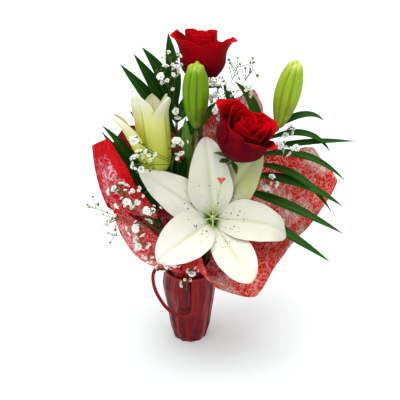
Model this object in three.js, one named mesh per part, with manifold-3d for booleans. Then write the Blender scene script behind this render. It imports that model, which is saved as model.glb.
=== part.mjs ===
// A small mixed bouquet that stands on its own foot: a lily stem with an open flower, a
// half-open flower and two buds, two red roses, palm fronds and baby's breath. The stems stand
// in a foam plug in a tumbler, the tumbler is wrapped in creased film, and a collar of fibre
// web is gathered at its neck by a ribbon.
//
// Millimetres, +Z up. The origin is the centre of the foot's flat underside. The open lily
// looks towards -Y, and +X is the side of the palm frond.

import * as THREE from "three";
import { mergeVertices } from "three/addons/utils/BufferGeometryUtils.js";
import Module from "manifold-3d";

const wasm = await Module();
wasm.setup();

// ---------------------------------------------------------------- driving dimensions

const GAP = 0.4; // clearance between pieces that touch
const FILM = 0.8; // wall of the foot's film
const WEB = 0.8; // thickness of the fibre web
const BLADE = 0.7; // thickness of leaves and petals

// Foot: outer radius of the film at each height. The first ring is the flat underside.
const FOOT_PROFILE = [
  [20.6, 0],
  [22.6, 5],
  [27.0, 40],
  [32.2, 78],
  [29.6, 103],
];
const FOOT_PLEATS = 12;
const PLEAT_DEPTH = 1.5;

const TUMBLER_PROFILE = [
  [17.6, 1.2],
  [19.6, 6],
  [27.2, 87],
];
const TUMBLER_WALL = 1.2;
const TUMBLER_SIDES = 18;
const FOAM_TOP = 83;

// Neck: the collar's skirt stands here inside the film, and the ribbon ties it outside.
const NECK_RADIUS = 26;
const SKIRT_BOTTOM = 91;
const SKIRT_TOP = 107;
const LAYER_STEP = 3; // distance between overlapping layers of web
const RIBBON_WIDTH = 4;
const RIBBON_THICK = 0.8;
const RIBBON_Z = 99;
const BAND_RADIUS = 30.7;

// Edges of the web sheets: bearing in degrees from +X, distance from the axis, height.
const RIGHT_RIM = [
  [-106, 36, 140],
  [-90, 38, 139],
  [-80, 41, 143],
  [-71, 45, 138],
  [-62, 56, 110],
  [-47, 75, 95],
  [-36, 96, 97],
  [-27, 106, 122],
  [-16, 126, 158],
  [-8, 144, 180],
  [0, 168, 215],
  [7, 153, 227],
  [13, 145, 238],
  [24, 119, 228],
  [33, 103, 232],
  [40, 105, 276],
];
const BACK_RIM = [
  [33, 103, 232],
  [39, 106, 274],
  [44, 101, 296],
  [51, 90, 287],
  [75, 72, 262],
  [104, 64, 248],
  [130, 68, 254],
  [155, 82, 264],
  [167, 89, 252],
  [174, 98, 254],
  [180.3, 105, 264],
  [187.3, 88, 281],
  [200, 73, 254],
  [218, 66, 232],
  [236, 60, 209],
];
const LEFT_RIM = [
  [195, 97, 217],
  [203, 89, 210],
  [210, 83, 204],
  [216, 79, 199],
  [224, 73, 191],
  [242, 57, 164],
  [248, 45, 148],
  [252, 39, 141],
];
// Where the back sheet leaves the neck it lies on the outside of the left sheet: the share of
// the climb to the rim at which it starts, by bearing. Then its lower edge is free: the slit.
const BACK_LEAVES = 150;
const BACK_START = [
  [150, 0.04],
  [160, 0.3],
  [170, 0.5],
  [185, 0.66],
  [203, 0.7],
];
const SEAM_OVERLAP = 0.05;
const SEAM_END = 203;
const BACK_FREE_EDGE = [
  [203, 94, 214],
  [210, 87, 211],
  [224, 71, 204],
  [236, 61, 202],
];
// How a section of a sheet bellies out, by bearing: the share of its reach and of its rise at
// the point that draws the curve out.
const BACK_BELLY = [
  [-106, 1.2, 0.12],
  [-84, 1.1, 0.14],
  [-58, 0.6, 0.25],
  [130, 0.62, 0.25],
  [150, 0.72, 0.22],
  [170, 0.95, 0.2],
  [183, 1, 0.27],
  [203, 2.3, 0.6],
];
const LEFT_BELLY = [
  [195, 1.12, 0.14],
  [215, 1.1, 0.14],
  [240, 0.9, 0.18],
  [252, 1.2, 0.12],
];
const FLAP_BELLY = [0.7, 0.45];

// Stems: points from the foot of each stem upwards, and radius.
const STEMS = {
  lily: {
    radius: 3.4,
    sides: 7,
    path: [[-3, -5, 8], [-2, -4, 100], [0, 1, 180], [1, 2, 246]],
  },
  rose_a: {
    radius: 2.4,
    sides: 6,
    path: [[5, 10, 8], [8, 15, 100], [12, 26, 220], [13, 33, 317]],
  },
  rose_b: {
    radius: 2.4,
    sides: 6,
    path: [[11, -2, 8], [17, -3, 100], [36, 4, 180], [48, 8, 240], [49, -6, 262], [43, -26.5, 260.5]],
  },
};
const RIB = { radius: 1.7, sides: 4 };
const TWIG = { radius: 0.9, sides: 3 };
const ROD_STEPS = 7;

// Open lily
const LILY_BASE = [26, -35, 188];
const LILY_AXIS = [0, -0.695, 0.72];
// Each tepal: bearing about the axis from the right, length, greatest width, how far along its
// length it has turned away from the axis, and its taper: where it is widest, the power of the
// fall to the tip and how blunt the tip is.
const LILY_TEPALS = [
  { bearing: 95, length: 98, width: 49, turns: [10, 56, 62, 66, 100], taper: [0.45, 1.3, 0.53],
    inner: true },
  { bearing: 53, length: 98, width: 43, turns: [12, 60, 66, 70, 90], taper: [0.45, 1.7, 0.65] },
  { bearing: 354, length: 98, width: 44, turns: [10, 58, 66, 86, 165], taper: [0.5, 1.9, 0.7],
    inner: true, droop: 16 },
  { bearing: 298, length: 96, width: 42, turns: [12, 60, 64, 66, 84], taper: [0.55, 2.4, 0.6] },
  { bearing: 222, length: 94, width: 51, turns: [10, 56, 60, 64, 84], taper: [0.5, 2, 0.65],
    inner: true },
  { bearing: 150, length: 102, width: 43, turns: [12, 60, 68, 72, 90], taper: [0.46, 1.5, 0.68] },
];

// Half-open lily
const HALF_BASE = [-33, -17, 238];
const HALF_AXIS = [-0.1, 0.12, 0.99];
// Buds: the profile is [share of the radius, share of the length].
const BUDS = {
  lily_bud_a: {
    base: [8, -5, 288],
    axis: [0, 0, 1],
    length: 77,
    radius: 14.2,
    profile: [[0, 0], [0.36, 0.04], [0.56, 0.13], [0.83, 0.27], [0.96, 0.41], [1, 0.55], [0.98, 0.67],
      [0.88, 0.79], [0.68, 0.9], [0.42, 0.98], [0, 1]],
  },
  lily_bud_b: {
    base: [97, 10, 280],
    axis: [0.2, 0.03, 0.98],
    length: 80,
    radius: 14.2,
    profile: [[0, 0], [0.36, 0.04], [0.54, 0.13], [0.78, 0.27], [0.94, 0.41], [1, 0.55], [0.96, 0.68],
      [0.85, 0.8], [0.66, 0.91], [0.42, 0.98], [0, 1]],
  },
};

const ROSES = {
  rose_a: { base: [13, 34, 321], axis: [0.02, 0.25, 0.97], length: 60 },
  rose_b: { base: [46, -30, 269], axis: [0.38, -0.08, 0.92], length: 56 },
};

// ---------------------------------------------------------------- helpers

const vec = (p) => new THREE.Vector3(...p); // from [x, y, z] or another vector
const radians = THREE.MathUtils.degToRad;
const lerp = THREE.MathUtils.lerp;

// A closed geometry as a manifold solid with its faces outwards.
function solidOf(geometry) {
  const bare = geometry.clone();
  bare.deleteAttribute("normal");
  bare.deleteAttribute("uv");
  const merged = mergeVertices(bare, 1e-4);
  const index = merged.index.array;
  const triangles = [];
  for (let i = 0; i < index.length; i += 3) {
    const [a, b, c] = [index[i], index[i + 1], index[i + 2]];
    if (a !== b && b !== c && c !== a) triangles.push(a, b, c);
  }
  const build = (triVerts) =>
    new wasm.Manifold(
      new wasm.Mesh({
        numProp: 3,
        vertProperties: merged.attributes.position.array,
        triVerts: new Uint32Array(triVerts),
      }),
    );
  const made = build(triangles);
  return made.volume() < 0 ? build(triangles.reverse()) : made;
}

// Solids as one, with the pockets that close inside it filled.
function join(solids) {
  const all = solids.reduce((sum, next) => sum.add(next));
  return wasm.Manifold.compose(all.decompose().filter((part) => part.volume() > 0));
}

function geometryOf(solid) {
  const { numProp, vertProperties, triVerts } = solid.getMesh();
  const count = vertProperties.length / numProp;
  const position = new Float32Array(count * 3);
  for (let i = 0; i < count; i++)
    position.set(vertProperties.subarray(i * numProp, i * numProp + 3), i * 3);
  const geometry = new THREE.BufferGeometry();
  geometry.setAttribute("position", new THREE.BufferAttribute(position, 3));
  geometry.setIndex(new THREE.BufferAttribute(new Uint32Array(triVerts), 1));
  geometry.computeVertexNormals();
  return geometry;
}

// A value that runs through keys [x, ...values] in straight steps.
function along(keys, x) {
  const last = keys.length - 1;
  if (x <= keys[0][0]) return keys[0].slice(1);
  if (x >= keys[last][0]) return keys[last].slice(1);
  const k = keys.findIndex((key) => key[0] > x);
  const t = (x - keys[k - 1][0]) / (keys[k][0] - keys[k - 1][0]);
  return keys[k].slice(1).map((value, i) => lerp(keys[k - 1][i + 1], value, t));
}

// A thin solid about a surface: point(u, v) for u and v from 0 to 1, thickened along its
// normal, with the same diagonals on both faces.
function sheet(point, rows, columns, thickness) {
  const stride = columns + 1;
  const half = (rows + 1) * stride;
  const middle = [];
  for (let i = 0; i <= rows; i++)
    for (let j = 0; j <= columns; j++) middle.push(point(i / rows, j / columns));
  const at = (i, j) => middle[i * stride + j];
  const position = new Float32Array(half * 6);
  for (let i = 0; i <= rows; i++)
    for (let j = 0; j <= columns; j++) {
      const alongRows = at(Math.min(i + 1, rows), j).clone().sub(at(Math.max(i - 1, 0), j));
      const across = at(i, Math.min(j + 1, columns)).clone().sub(at(i, Math.max(j - 1, 0)));
      const normal = alongRows.cross(across).normalize().multiplyScalar(thickness / 2);
      const k = i * stride + j;
      at(i, j).clone().add(normal).toArray(position, k * 3);
      at(i, j).clone().sub(normal).toArray(position, (half + k) * 3);
    }
  const index = [];
  const quad = (a, b, c, d) => index.push(a, b, c, a, c, d);
  for (let i = 0; i < rows; i++)
    for (let j = 0; j < columns; j++) {
      const a = i * stride + j;
      const [b, c, d] = [a + stride, a + stride + 1, a + 1];
      quad(a, b, c, d);
      index.push(half + a, half + c, half + b, half + a, half + d, half + c);
    }
  for (let i = 0; i < rows; i++) {
    const a = i * stride;
    quad(a, half + a, half + a + stride, a + stride);
    const z = a + columns;
    quad(z, z + stride, half + z + stride, half + z);
  }
  for (let j = 0; j < columns; j++) {
    quad(j, j + 1, half + j + 1, half + j);
    const z = rows * stride + j;
    quad(z, half + z, half + z + 1, z + 1);
  }
  const geometry = new THREE.BufferGeometry();
  geometry.setAttribute("position", new THREE.BufferAttribute(position, 3));
  geometry.setIndex(index);
  return solidOf(geometry);
}

// A round rod along a smooth curve.
function rod(points, radius, sides, steps = ROD_STEPS) {
  const ring = new THREE.Shape();
  for (let k = 0; k < sides; k++) {
    const a = (k / sides) * 2 * Math.PI;
    const p = [radius * Math.cos(a), radius * Math.sin(a)];
    if (k === 0) ring.moveTo(...p);
    else ring.lineTo(...p);
  }
  ring.closePath();
  const curve =
    points.length > 2
      ? new THREE.CatmullRomCurve3(points.map(vec), false, "centripetal")
      : new THREE.LineCurve3(vec(points[0]), vec(points[1]));
  return solidOf(
    new THREE.ExtrudeGeometry(ring, { steps, bevelEnabled: false, extrudePath: curve }),
  );
}

// A shape turned about an axis: profile of [radius, height], placed on base along axis.
function turned(profile, segments, base = [0, 0, 0], axis = [0, 0, 1], shape = (r) => r) {
  const geometry = new THREE.LatheGeometry(
    profile.map(([r, h]) => new THREE.Vector2(r, h)),
    segments,
  );
  const p = geometry.attributes.position;
  for (let i = 0; i < p.count; i++) {
    const bearing = Math.atan2(p.getZ(i), p.getX(i));
    const radius = Math.hypot(p.getX(i), p.getZ(i));
    const r = radius < 1e-6 ? 0 : shape(radius, p.getY(i), bearing);
    p.setXYZ(i, r * Math.cos(bearing), p.getY(i), r * Math.sin(bearing));
  }
  const turn = new THREE.Quaternion().setFromUnitVectors(
    new THREE.Vector3(0, 1, 0),
    vec(axis).normalize(),
  );
  geometry.applyQuaternion(turn).translate(...base);
  return solidOf(geometry);
}

// A leaf blade: a channelled strip on a curve through from, via and to. It widens and tapers
// to a point, and face is the direction that its upper side looks to.
function leaf({ from, via, to, width, face = [0, 0, 1], channel = 0.18, rows = 4, heel = 0.1 }) {
  const curve = new THREE.QuadraticBezierCurve3(vec(from), vec(via), vec(to));
  const widest = 0.42;
  return sheet(
    (u, v) => {
      const centre = curve.getPoint(u);
      const side = curve.getTangent(u).cross(vec(face)).normalize();
      const up = side.clone().cross(curve.getTangent(u)).normalize();
      const swell =
        u < widest
          ? lerp(heel, 1, Math.sin((u / widest) * (Math.PI / 2)))
          : Math.cos(((u - widest) / (1 - widest)) * (Math.PI / 2)) ** 0.85;
      const reach = (v - 0.5) * Math.max(width * swell, 1);
      return centre
        .addScaledVector(side, reach)
        .addScaledVector(up, Math.abs(reach) * channel * 2);
    },
    rows,
    2,
    BLADE,
  );
}

// Two directions square to an axis: right points to +X, up to the axis's own up.
function frameOf(axis) {
  const a = vec(axis).normalize();
  const right = new THREE.Vector3(1, 0, 0).addScaledVector(a, -a.x).normalize();
  return { axis: a, right, up: a.clone().cross(right) };
}

// A tepal: its midline leaves the flower's axis by the angles in turns, read at five even
// places along it. Its section is a channel that opens out towards the tip.
function tepal(flower, { bearing, length, width, turns, taper, inner = false, droop = 0 }) {
  const { axis, right, up } = frameOf(flower.axis);
  const a = radians(bearing);
  const out = right.clone().multiplyScalar(Math.cos(a)).addScaledVector(up, Math.sin(a));
  const side = axis.clone().cross(out);
  const keys = turns.map((turn, i) => [i / (turns.length - 1), radians(turn)]);
  const root = inner ? flower.root : flower.root + 1.4;
  const midline = [];
  const steps = 40;
  let place = vec(flower.base).addScaledVector(out, root);
  for (let k = 0; k <= steps; k++) {
    midline.push(place.clone());
    const [turn] = along(keys, (k + 0.5) / steps);
    place = place
      .clone()
      .addScaledVector(axis, (Math.cos(turn) * length) / steps)
      .addScaledVector(out, (Math.sin(turn) * length) / steps);
  }
  return sheet(
    (t, v) => {
      const u = 1 - (1 - t) ** 1.3;
      const spot = Math.min(u * steps, steps - 1e-6);
      const k = Math.floor(spot);
      const centre = midline[k].clone().lerp(midline[k + 1], spot - k);
      const [turn] = along(keys, u);
      const inward = axis
        .clone()
        .multiplyScalar(Math.sin(turn))
        .addScaledVector(out, -Math.cos(turn));
      const reach = tepalWidth(u, taper) * width * (v - 0.5);
      const channel = (inner ? flower.channel : flower.under) * (1 - u) + flower.lip * u;
      const raised = (4 * channel * reach * reach) / width - 1.2 * Math.exp(-60 * (v - 0.5) ** 2);
      centre.z -= droop * u ** 3;
      return centre.addScaledVector(side, reach).addScaledVector(inward, raised);
    },
    6,
    4,
    BLADE,
  );
}

// Width of a tepal along its length, as a share of the greatest: a narrow claw that swells to
// the widest place, then a fall to the tip.
function tepalWidth(u, [widest, power, blunt]) {
  const swell = 0.14 + 0.86 * Math.sin(Math.min(u / widest, 1) * (Math.PI / 2)) ** 1.3;
  const fall = 1 - Math.max((u - widest) / (1 - widest), 0) ** power;
  return swell * Math.max(fall, 0.006) ** blunt;
}

// ---------------------------------------------------------------- foot, tumbler and foam

// Radius lost in a pleat: each of the foot's pleats rises slowly and drops back at once.
function pleat(bearing, height) {
  const turn = (bearing / (2 * Math.PI)) * FOOT_PLEATS;
  const rise = turn - Math.floor(turn + 1e-6);
  const depth = lerp(PLEAT_DEPTH, 0.5, THREE.MathUtils.clamp((height - 78) / 25, 0, 1));
  return depth * Math.min(rise * 1.5, 1);
}

function makeFootWrap() {
  const outer = FOOT_PROFILE;
  const inner = outer.map(([r, h]) => [r - FILM, Math.max(h, FILM)]);
  inner[inner.length - 1][1] = outer[outer.length - 1][1];
  const profile = [[0, 0], ...outer, ...inner.reverse(), [0, FILM]];
  return turned(profile, FOOT_PLEATS * 2, [0, 0, 0], [0, 0, 1], (r, h, bearing) =>
    r - pleat(bearing, h),
  );
}

function makeTumbler() {
  const inner = TUMBLER_PROFILE.map(([r, h]) => [r - TUMBLER_WALL, h]);
  inner[0][1] += TUMBLER_WALL;
  const floor = TUMBLER_PROFILE[0][1];
  return turned(
    [[0, floor], ...TUMBLER_PROFILE, ...inner.reverse(), [0, floor + TUMBLER_WALL]],
    TUMBLER_SIDES,
  );
}

function makeFoam(stems) {
  const [bottom, knee, rim] = TUMBLER_PROFILE;
  const inset = TUMBLER_WALL + GAP;
  const share = (FOAM_TOP - knee[1]) / (rim[1] - knee[1]);
  const plug = turned(
    [
      [0, bottom[1] + inset],
      [bottom[0] - inset, bottom[1] + inset],
      [knee[0] - inset, knee[1] + GAP],
      [lerp(knee[0], rim[0], share) - inset, FOAM_TOP],
      [0, FOAM_TOP],
    ],
    TUMBLER_SIDES,
  );
  return stems.reduce((foam, { path: [[x, y, z], ...rest], radius, sides }) => {
    const clearance = GAP / Math.cos(Math.PI / sides);
    const hole = rod([[x, y, z - GAP], ...rest], radius + clearance, sides);
    return foam.subtract(hole);
  }, plug);
}

// ---------------------------------------------------------------- collar and ribbon

// Shallow creases that fan out from the neck.
const crease = (bearing, s) => 2.2 * s * Math.sin(radians(bearing) * 13);

// A point [distance from the axis, height] on a section of the collar: a curve from start
// to rim that bellies out.
function section(start, rim, belly, s) {
  const knee = [lerp(start[0], rim[0], belly[0]), lerp(start[1], rim[1], belly[1])];
  return [0, 1].map((k) => (1 - s) ** 2 * start[k] + 2 * s * (1 - s) * knee[k] + s * s * rim[k]);
}

const NECK = [NECK_RADIUS, SKIRT_TOP];

// The sections of the three sheets, at a bearing and at a share s of the climb.
const rightSection = (bearing, s) =>
  section(NECK, along(RIGHT_RIM, bearing), along(BACK_BELLY, bearing), s);

const backSection = (bearing, s) =>
  section(NECK, along(BACK_RIM, bearing), along(BACK_BELLY, bearing), s);

function leftSection(bearing, s) {
  const [share] = along(BACK_START, bearing);
  const under = backSection(bearing, s * Math.min(share + SEAM_OVERLAP, 1));
  const own = section(NECK, along(LEFT_RIM, bearing), along(LEFT_BELLY, bearing), s);
  const blend = THREE.MathUtils.smoothstep(bearing, SEAM_END - 8, SEAM_END + 6);
  return own.map((value, k) => lerp(under[k], value, blend));
}

// A web sheet between two bearings. profile gives a point [distance from the axis, height] at
// a bearing and a share v of the climb, and layer moves it in by whole steps.
function webSheet({ profile, from, to, layer, rows, columns }) {
  return sheet(
    (u, v) => {
      const bearing = lerp(from, to, u);
      const [distance, height] = profile(bearing, v, 1 / columns);
      const radius = distance - layer * LAYER_STEP;
      const angle = radians(bearing);
      return new THREE.Vector3(
        radius * Math.cos(angle),
        radius * Math.sin(angle),
        height + layer * LAYER_STEP,
      );
    },
    rows,
    columns,
    WEB,
  );
}

// A sheet that starts at the neck has a skirt that stands inside the film. hem gives the share
// of the skirt's height that is cut away from below.
const climbing = (climb, hem = () => 0) => (bearing, v, skirt) => {
  if (v <= skirt) {
    const bottom = lerp(SKIRT_BOTTOM, SKIRT_TOP, hem(bearing));
    return [NECK_RADIUS, lerp(bottom, SKIRT_TOP, v / skirt)];
  }
  const s = (v - skirt) / (1 - skirt);
  const [radius, height] = climb(bearing, s);
  return [radius, height + crease(bearing, s)];
};

const backHem = (bearing) =>
  0.95 * THREE.MathUtils.smoothstep(bearing, BACK_LEAVES - 16, BACK_LEAVES - 5);

function backProfile(bearing, v, skirt) {
  if (bearing <= BACK_LEAVES) return climbing(backSection, backHem)(bearing, v, skirt);
  if (bearing <= SEAM_END) {
    const [share] = along(BACK_START, bearing);
    const s = lerp(share, 1, v);
    const [radius, height] = backSection(bearing, s);
    return [radius, height + crease(bearing, s)];
  }
  const rim = along(BACK_RIM, bearing);
  const [radius, height] = section(along(BACK_FREE_EDGE, bearing), rim, FLAP_BELLY, v);
  return [radius, height + crease(bearing, lerp(0.7, 1, v))];
}

const makeCollarRight = () =>
  webSheet({ profile: climbing(rightSection), from: -106, to: 38, layer: 1, rows: 22, columns: 5 });
const makeCollarBack = () =>
  webSheet({ profile: backProfile, from: 34, to: 236, layer: 0, rows: 29, columns: 5 });
const makeCollarLeft = () =>
  webSheet({ profile: climbing(leftSection), from: 144, to: 252, layer: 1, rows: 16, columns: 5 });

// The loop leaves the band at the neck's left, hangs outwards and comes back up the front. Its
// face is turned from outwards towards the front.
const RIBBON_TURN = 0.65;
const RIBBON_FACING = new THREE.Vector3(0.25, -1, 0.35);
const RIBBON_LOOP = [
  [-30, -9, 101],
  [-38, -11, 104],
  [-42, -13, 97],
  [-41, -15, 80],
  [-35, -21, 68],
  [-24, -28, 56],
  [-10, -32, 50],
  [2, -33, 54],
  [4, -34, 70],
  [4, -33, 88],
  [4, -30.8, 101],
];

function makeRibbon() {
  const band = turned(
    [
      [BAND_RADIUS, RIBBON_Z],
      [BAND_RADIUS + RIBBON_THICK, RIBBON_Z],
      [BAND_RADIUS + RIBBON_THICK, RIBBON_Z + RIBBON_WIDTH],
      [BAND_RADIUS, RIBBON_Z + RIBBON_WIDTH],
      [BAND_RADIUS, RIBBON_Z],
    ],
    20,
  );
  const curve = new THREE.CatmullRomCurve3(RIBBON_LOOP.map(vec), false, "centripetal");
  const loop = sheet(
    (u, v) => {
      const centre = curve.getPoint(u);
      const outward = centre.clone().setZ(0).normalize().lerp(RIBBON_FACING, RIBBON_TURN);
      const side = curve.getTangent(u).cross(outward).normalize();
      return centre.addScaledVector(side, (v - 0.5) * RIBBON_WIDTH);
    },
    16,
    1,
    RIBBON_THICK,
  );
  return join([band, loop]);
}

// ---------------------------------------------------------------- lilies

const lilyFlower = { base: LILY_BASE, axis: LILY_AXIS, root: 3, channel: 0.3, under: 0.06, lip: -0.05 };

function makeLilyOpen() {
  const { axis } = frameOf(LILY_AXIS);
  const seat = vec(LILY_BASE).addScaledVector(axis, -1.5).toArray();
  const receptacle = turned(
    [[0, -4], [4.5, -1], [5.2, 4], [2.5, 9], [0, 9.5]],
    8,
    seat,
    LILY_AXIS,
  );
  return join([receptacle, ...LILY_TEPALS.map((t) => tepal(lilyFlower, t))]);
}

const STYLE_TIP = [34, -60, 255];
const FILAMENTS = 6;

function makeLilyFilaments() {
  const { axis, right, up } = frameOf(LILY_AXIS);
  const base = vec(LILY_BASE);
  const start = base.clone().addScaledVector(axis, 8.4);
  const root = start.clone().addScaledVector(axis, 1).toArray(); // the rods' ends lie in the hub
  const rods = [];
  for (let k = 0; k < FILAMENTS; k++) {
    const a = radians(30 + (360 / FILAMENTS) * k);
    const out = right.clone().multiplyScalar(Math.cos(a)).addScaledVector(up, Math.sin(a));
    const bend = start.clone().addScaledVector(axis, 17).addScaledVector(out, 5);
    const end = start.clone().addScaledVector(axis, 29).addScaledVector(out, 15);
    rods.push(rod([root, bend.toArray(), end.toArray()], 1, 3, 2));
  }
  const hub = turned([[0, 0], [2, 0], [2, 6], [0, 7]], 6, start.toArray(), LILY_AXIS);
  const middle = start.clone().lerp(vec(STYLE_TIP), 0.5).addScaledVector(axis, 3).toArray();
  return join([hub, ...rods, rod([root, middle, STYLE_TIP], 1.1, 4, 4)]);
}

function makeStigma() {
  const direction = vec(STYLE_TIP).sub(vec(LILY_BASE)).normalize();
  const seat = vec(STYLE_TIP).addScaledVector(direction, GAP);
  return turned(
    [[0, 0], [1.4, 0], [4.2, 3.4], [3.4, 5], [0, 4.2]],
    12,
    seat.toArray(),
    direction.toArray(),
    (r, h, bearing) => r * (0.82 + 0.28 * Math.cos(3 * bearing)),
  );
}

// Tepals of the half-open flower: they still wrap round its axis, and lean out by leans, read
// at five even places along each.
const HALF_TEPALS = [
  { bearing: 200, reach: 58, length: 90, leans: [0, 2, 8, 15, 27], layer: 1 },
  { bearing: 322, reach: 60, length: 98, leans: [0, 0, 0, 1, 10], layer: 1 },
  { bearing: 85, reach: 60, length: 86, leans: [0, 0, 1, 2, 5], layer: 1 },
  { bearing: 247, reach: 56, length: 105, leans: [0, 1, 2, 2, 9], layer: -0.4 },
  { bearing: 25, reach: 52, length: 90, leans: [0, 0, 0, 1, 4], layer: -0.4 },
  { bearing: 145, reach: 50, length: 88, leans: [0, 0, 1, 2, 6], layer: -0.4 },
];
const HALF_RADIUS = [[0, 4], [0.05, 8.5], [0.12, 13], [0.3, 16], [0.5, 17], [1, 17.5]];

function halfTepal({ bearing, reach, length, leans, layer }) {
  const { axis, right, up } = frameOf(HALF_AXIS);
  const keys = leans.map((lean, i) => [i / (leans.length - 1), lean]);
  return sheet(
    (t, v) => {
      const u = 1 - (1 - t) ** 1.3;
      const w = 2 * v - 1;
      const [lean] = along(keys, u);
      const [body] = along(HALF_RADIUS, u);
      const r = body + layer * 1.4 + lean * (1 - 0.25 * w * w);
      const narrow = Math.max(1 - Math.max((u - 0.5) / 0.5, 0) ** 1.9, 0.006) ** 0.75;
      const angle =
        radians(bearing) + radians(reach) * w * narrow * (body / Math.max(r, body)) ** 0.4;
      const h = length * u - 0.4 * lean * u;
      return vec(HALF_BASE)
        .addScaledVector(axis, h)
        .addScaledVector(right, r * Math.cos(angle))
        .addScaledVector(up, r * Math.sin(angle));
    },
    5,
    3,
    BLADE,
  );
}

function makeLilyHalf() {
  const seat = turned([[0, -3], [5, -2], [8.5, 3], [5.5, 6], [0, 7]], 7, HALF_BASE, HALF_AXIS);
  return join([seat, ...HALF_TEPALS.map((t) => halfTepal(t))]);
}

// A closed bud: a spindle with three flat bands, a seam on each side of them, and rounded lobes
// between.
const BUD_FACING = radians(260); // bearing of the band that faces the front

function makeBud({ base, axis, length, radius, profile }) {
  return turned(
    profile.map(([r, h]) => [r * radius, h * length]),
    18,
    base,
    axis,
    (r, h, bearing) => {
      const c = Math.cos(3 * (bearing + BUD_FACING));
      const seam = Math.exp(-(((c - 0.5) / 0.22) ** 2));
      const lobe = 0.04 * THREE.MathUtils.smoothstep(-c, -0.3, 0.6);
      const deep = THREE.MathUtils.smoothstep(h / length, 0.02, 0.25);
      return r * (0.97 + deep * (lobe - 0.1 * seam));
    },
  );
}

const PEDICELS = [
  [[0, 1, 226], [4, -2, 262], [8, -5, 287.4]],
  [[0, 1, 200], [-16, -8, 214], [-32.8, -17.2, 233.6]],
  [[0, -1, 150], [14, -18, 166], [25.8, -31.5, 183.4]],
  [[2, 4, 196], [46, 20, 226], [96.7, 9.9, 279.2]],
];
const LILY_LEAVES = [
  { from: [1, 1, 242], via: [-4, -10, 276], to: [-3, -14, 306], width: 11, face: [0, -1, 0.3] },
  { from: [-1, 0, 190], via: [-26, 10, 206], to: [-52, 4, 236], width: 13, face: [0, -0.4, 1] },
  { from: [0, -3, 130], via: [-14, -20, 146], to: [-27, -34, 156], width: 12 },
  { from: [1, 0, 168], via: [20, -10, 190], to: [38, -24, 204], width: 12 },
];

function makeLilyStem() {
  const { path, radius, sides } = STEMS.lily;
  return join([
    rod(path, radius, sides),
    ...PEDICELS.map((points) => rod(points, 2.1, 5, 3)),
    ...LILY_LEAVES.map(leaf),
  ]);
}

// ---------------------------------------------------------------- roses

// Petals of each rose from the outside inwards: bearing, half width in degrees, radius, height,
// roll of the rim, where its tip lies across it (-1 to 1), and how much one side stands above
// the other.
const ROSE_PETALS = {
  rose_a: [
    [328, 78, 26, 55, 13, 0.1, 0],
    [212, 84, 23.5, 57, 11, -0.15, -5],
    [88, 84, 22, 50, 4, 0, 0],
    [268, 66, 17, 53, 2, 0, 0],
    [32, 76, 16.5, 57, 2, 0, 0],
    [150, 76, 16.5, 58, 2, 0, 0],
    [335, 70, 11.5, 55, 1, 0, 0],
    [90, 70, 11.5, 56, 1, 0, 0],
    [210, 70, 11.5, 56, 1, 0, 0],
  ],
  rose_b: [
    [300, 70, 28, 43, 8, 0.6, 0],
    [222, 66, 26.5, 45, 3, -0.3, 0],
    [25, 66, 26.5, 50, 7, 0, 0],
    [150, 74, 27.5, 54, 13, 0.15, 0],
    [270, 64, 20.5, 45, 3, 0, 0],
    [20, 64, 20.5, 48, 4, 0, 0],
    [146, 64, 20.5, 52, 4, 0, 0],
    [235, 66, 14.5, 48, 2, 0, 0],
    [350, 66, 14.5, 48, 2, 0, 0],
    [105, 66, 14.5, 51, 2, 0, 0],
  ],
};
const OUTER_PETALS = 4; // these have finer faces than the inner ones
const PETAL_ROOT = 0.4; // share of its radius at which a petal leaves the core

// One petal of a rose, wrapped round the bloom's axis. It rises from the core, stands at its
// radius and rolls outwards at the rim, most at its tip. One edge lies inside its neighbour.
function petal(rose, [bearing, spread, radius, height, roll, tip, tilt], rows, columns) {
  const { axis, right, up } = frameOf(rose.axis);
  return sheet(
    (t, v) => {
      const u = 1 - (1 - t) ** 1.2;
      const w = 2 * v - 1;
      const shoulder = Math.sqrt(Math.max(1 - Math.max((u - 0.5) / 0.5, 0) ** 3.2, 0.3));
      const angle = radians(bearing) + radians(spread) * w * shoulder;
      const belly = Math.sin(Math.min(u * 2.1, 1) * (Math.PI / 2));
      const near = Math.exp(-(((w - tip) / 0.5) ** 2));
      const curl = roll * Math.max((u - 0.5) / 0.5, 0) ** 2 * (0.35 + 0.65 * near);
      const r = radius * lerp(PETAL_ROOT, 1, belly) + 1.2 * w + curl;
      const point = 2.2 * Math.exp(-(((w - tip) / 0.32) ** 2)) * u ** 5 * Math.min(roll / 6, 1);
      const drop = curl * 0.3 + 0.035 * height * w ** 4 * u;
      const h = lerp(2, height, u) + tilt * w * u * u - drop + point;
      return vec(rose.base)
        .addScaledVector(axis, h)
        .addScaledVector(right, r * Math.cos(angle))
        .addScaledVector(up, r * Math.sin(angle));
    },
    rows,
    columns,
    BLADE + 0.1,
  );
}

function makeRose(rose, petals) {
  const heart = [[5, 0.3], [6.5, 0.7], [4.5, 0.84], [0, 0.88]].map(([r, h]) => [r, h * rose.length]);
  const core = turned([[0, 0], [10, 0.8], [13, 4], [5, 8], ...heart], 6, rose.base, rose.axis);
  const shapes = petals.map((p, k) => petal(rose, p, ...(k < OUTER_PETALS ? [4, 4] : [3, 3])));
  return join([core, ...shapes]);
}

const SEPALS = 5;

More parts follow.
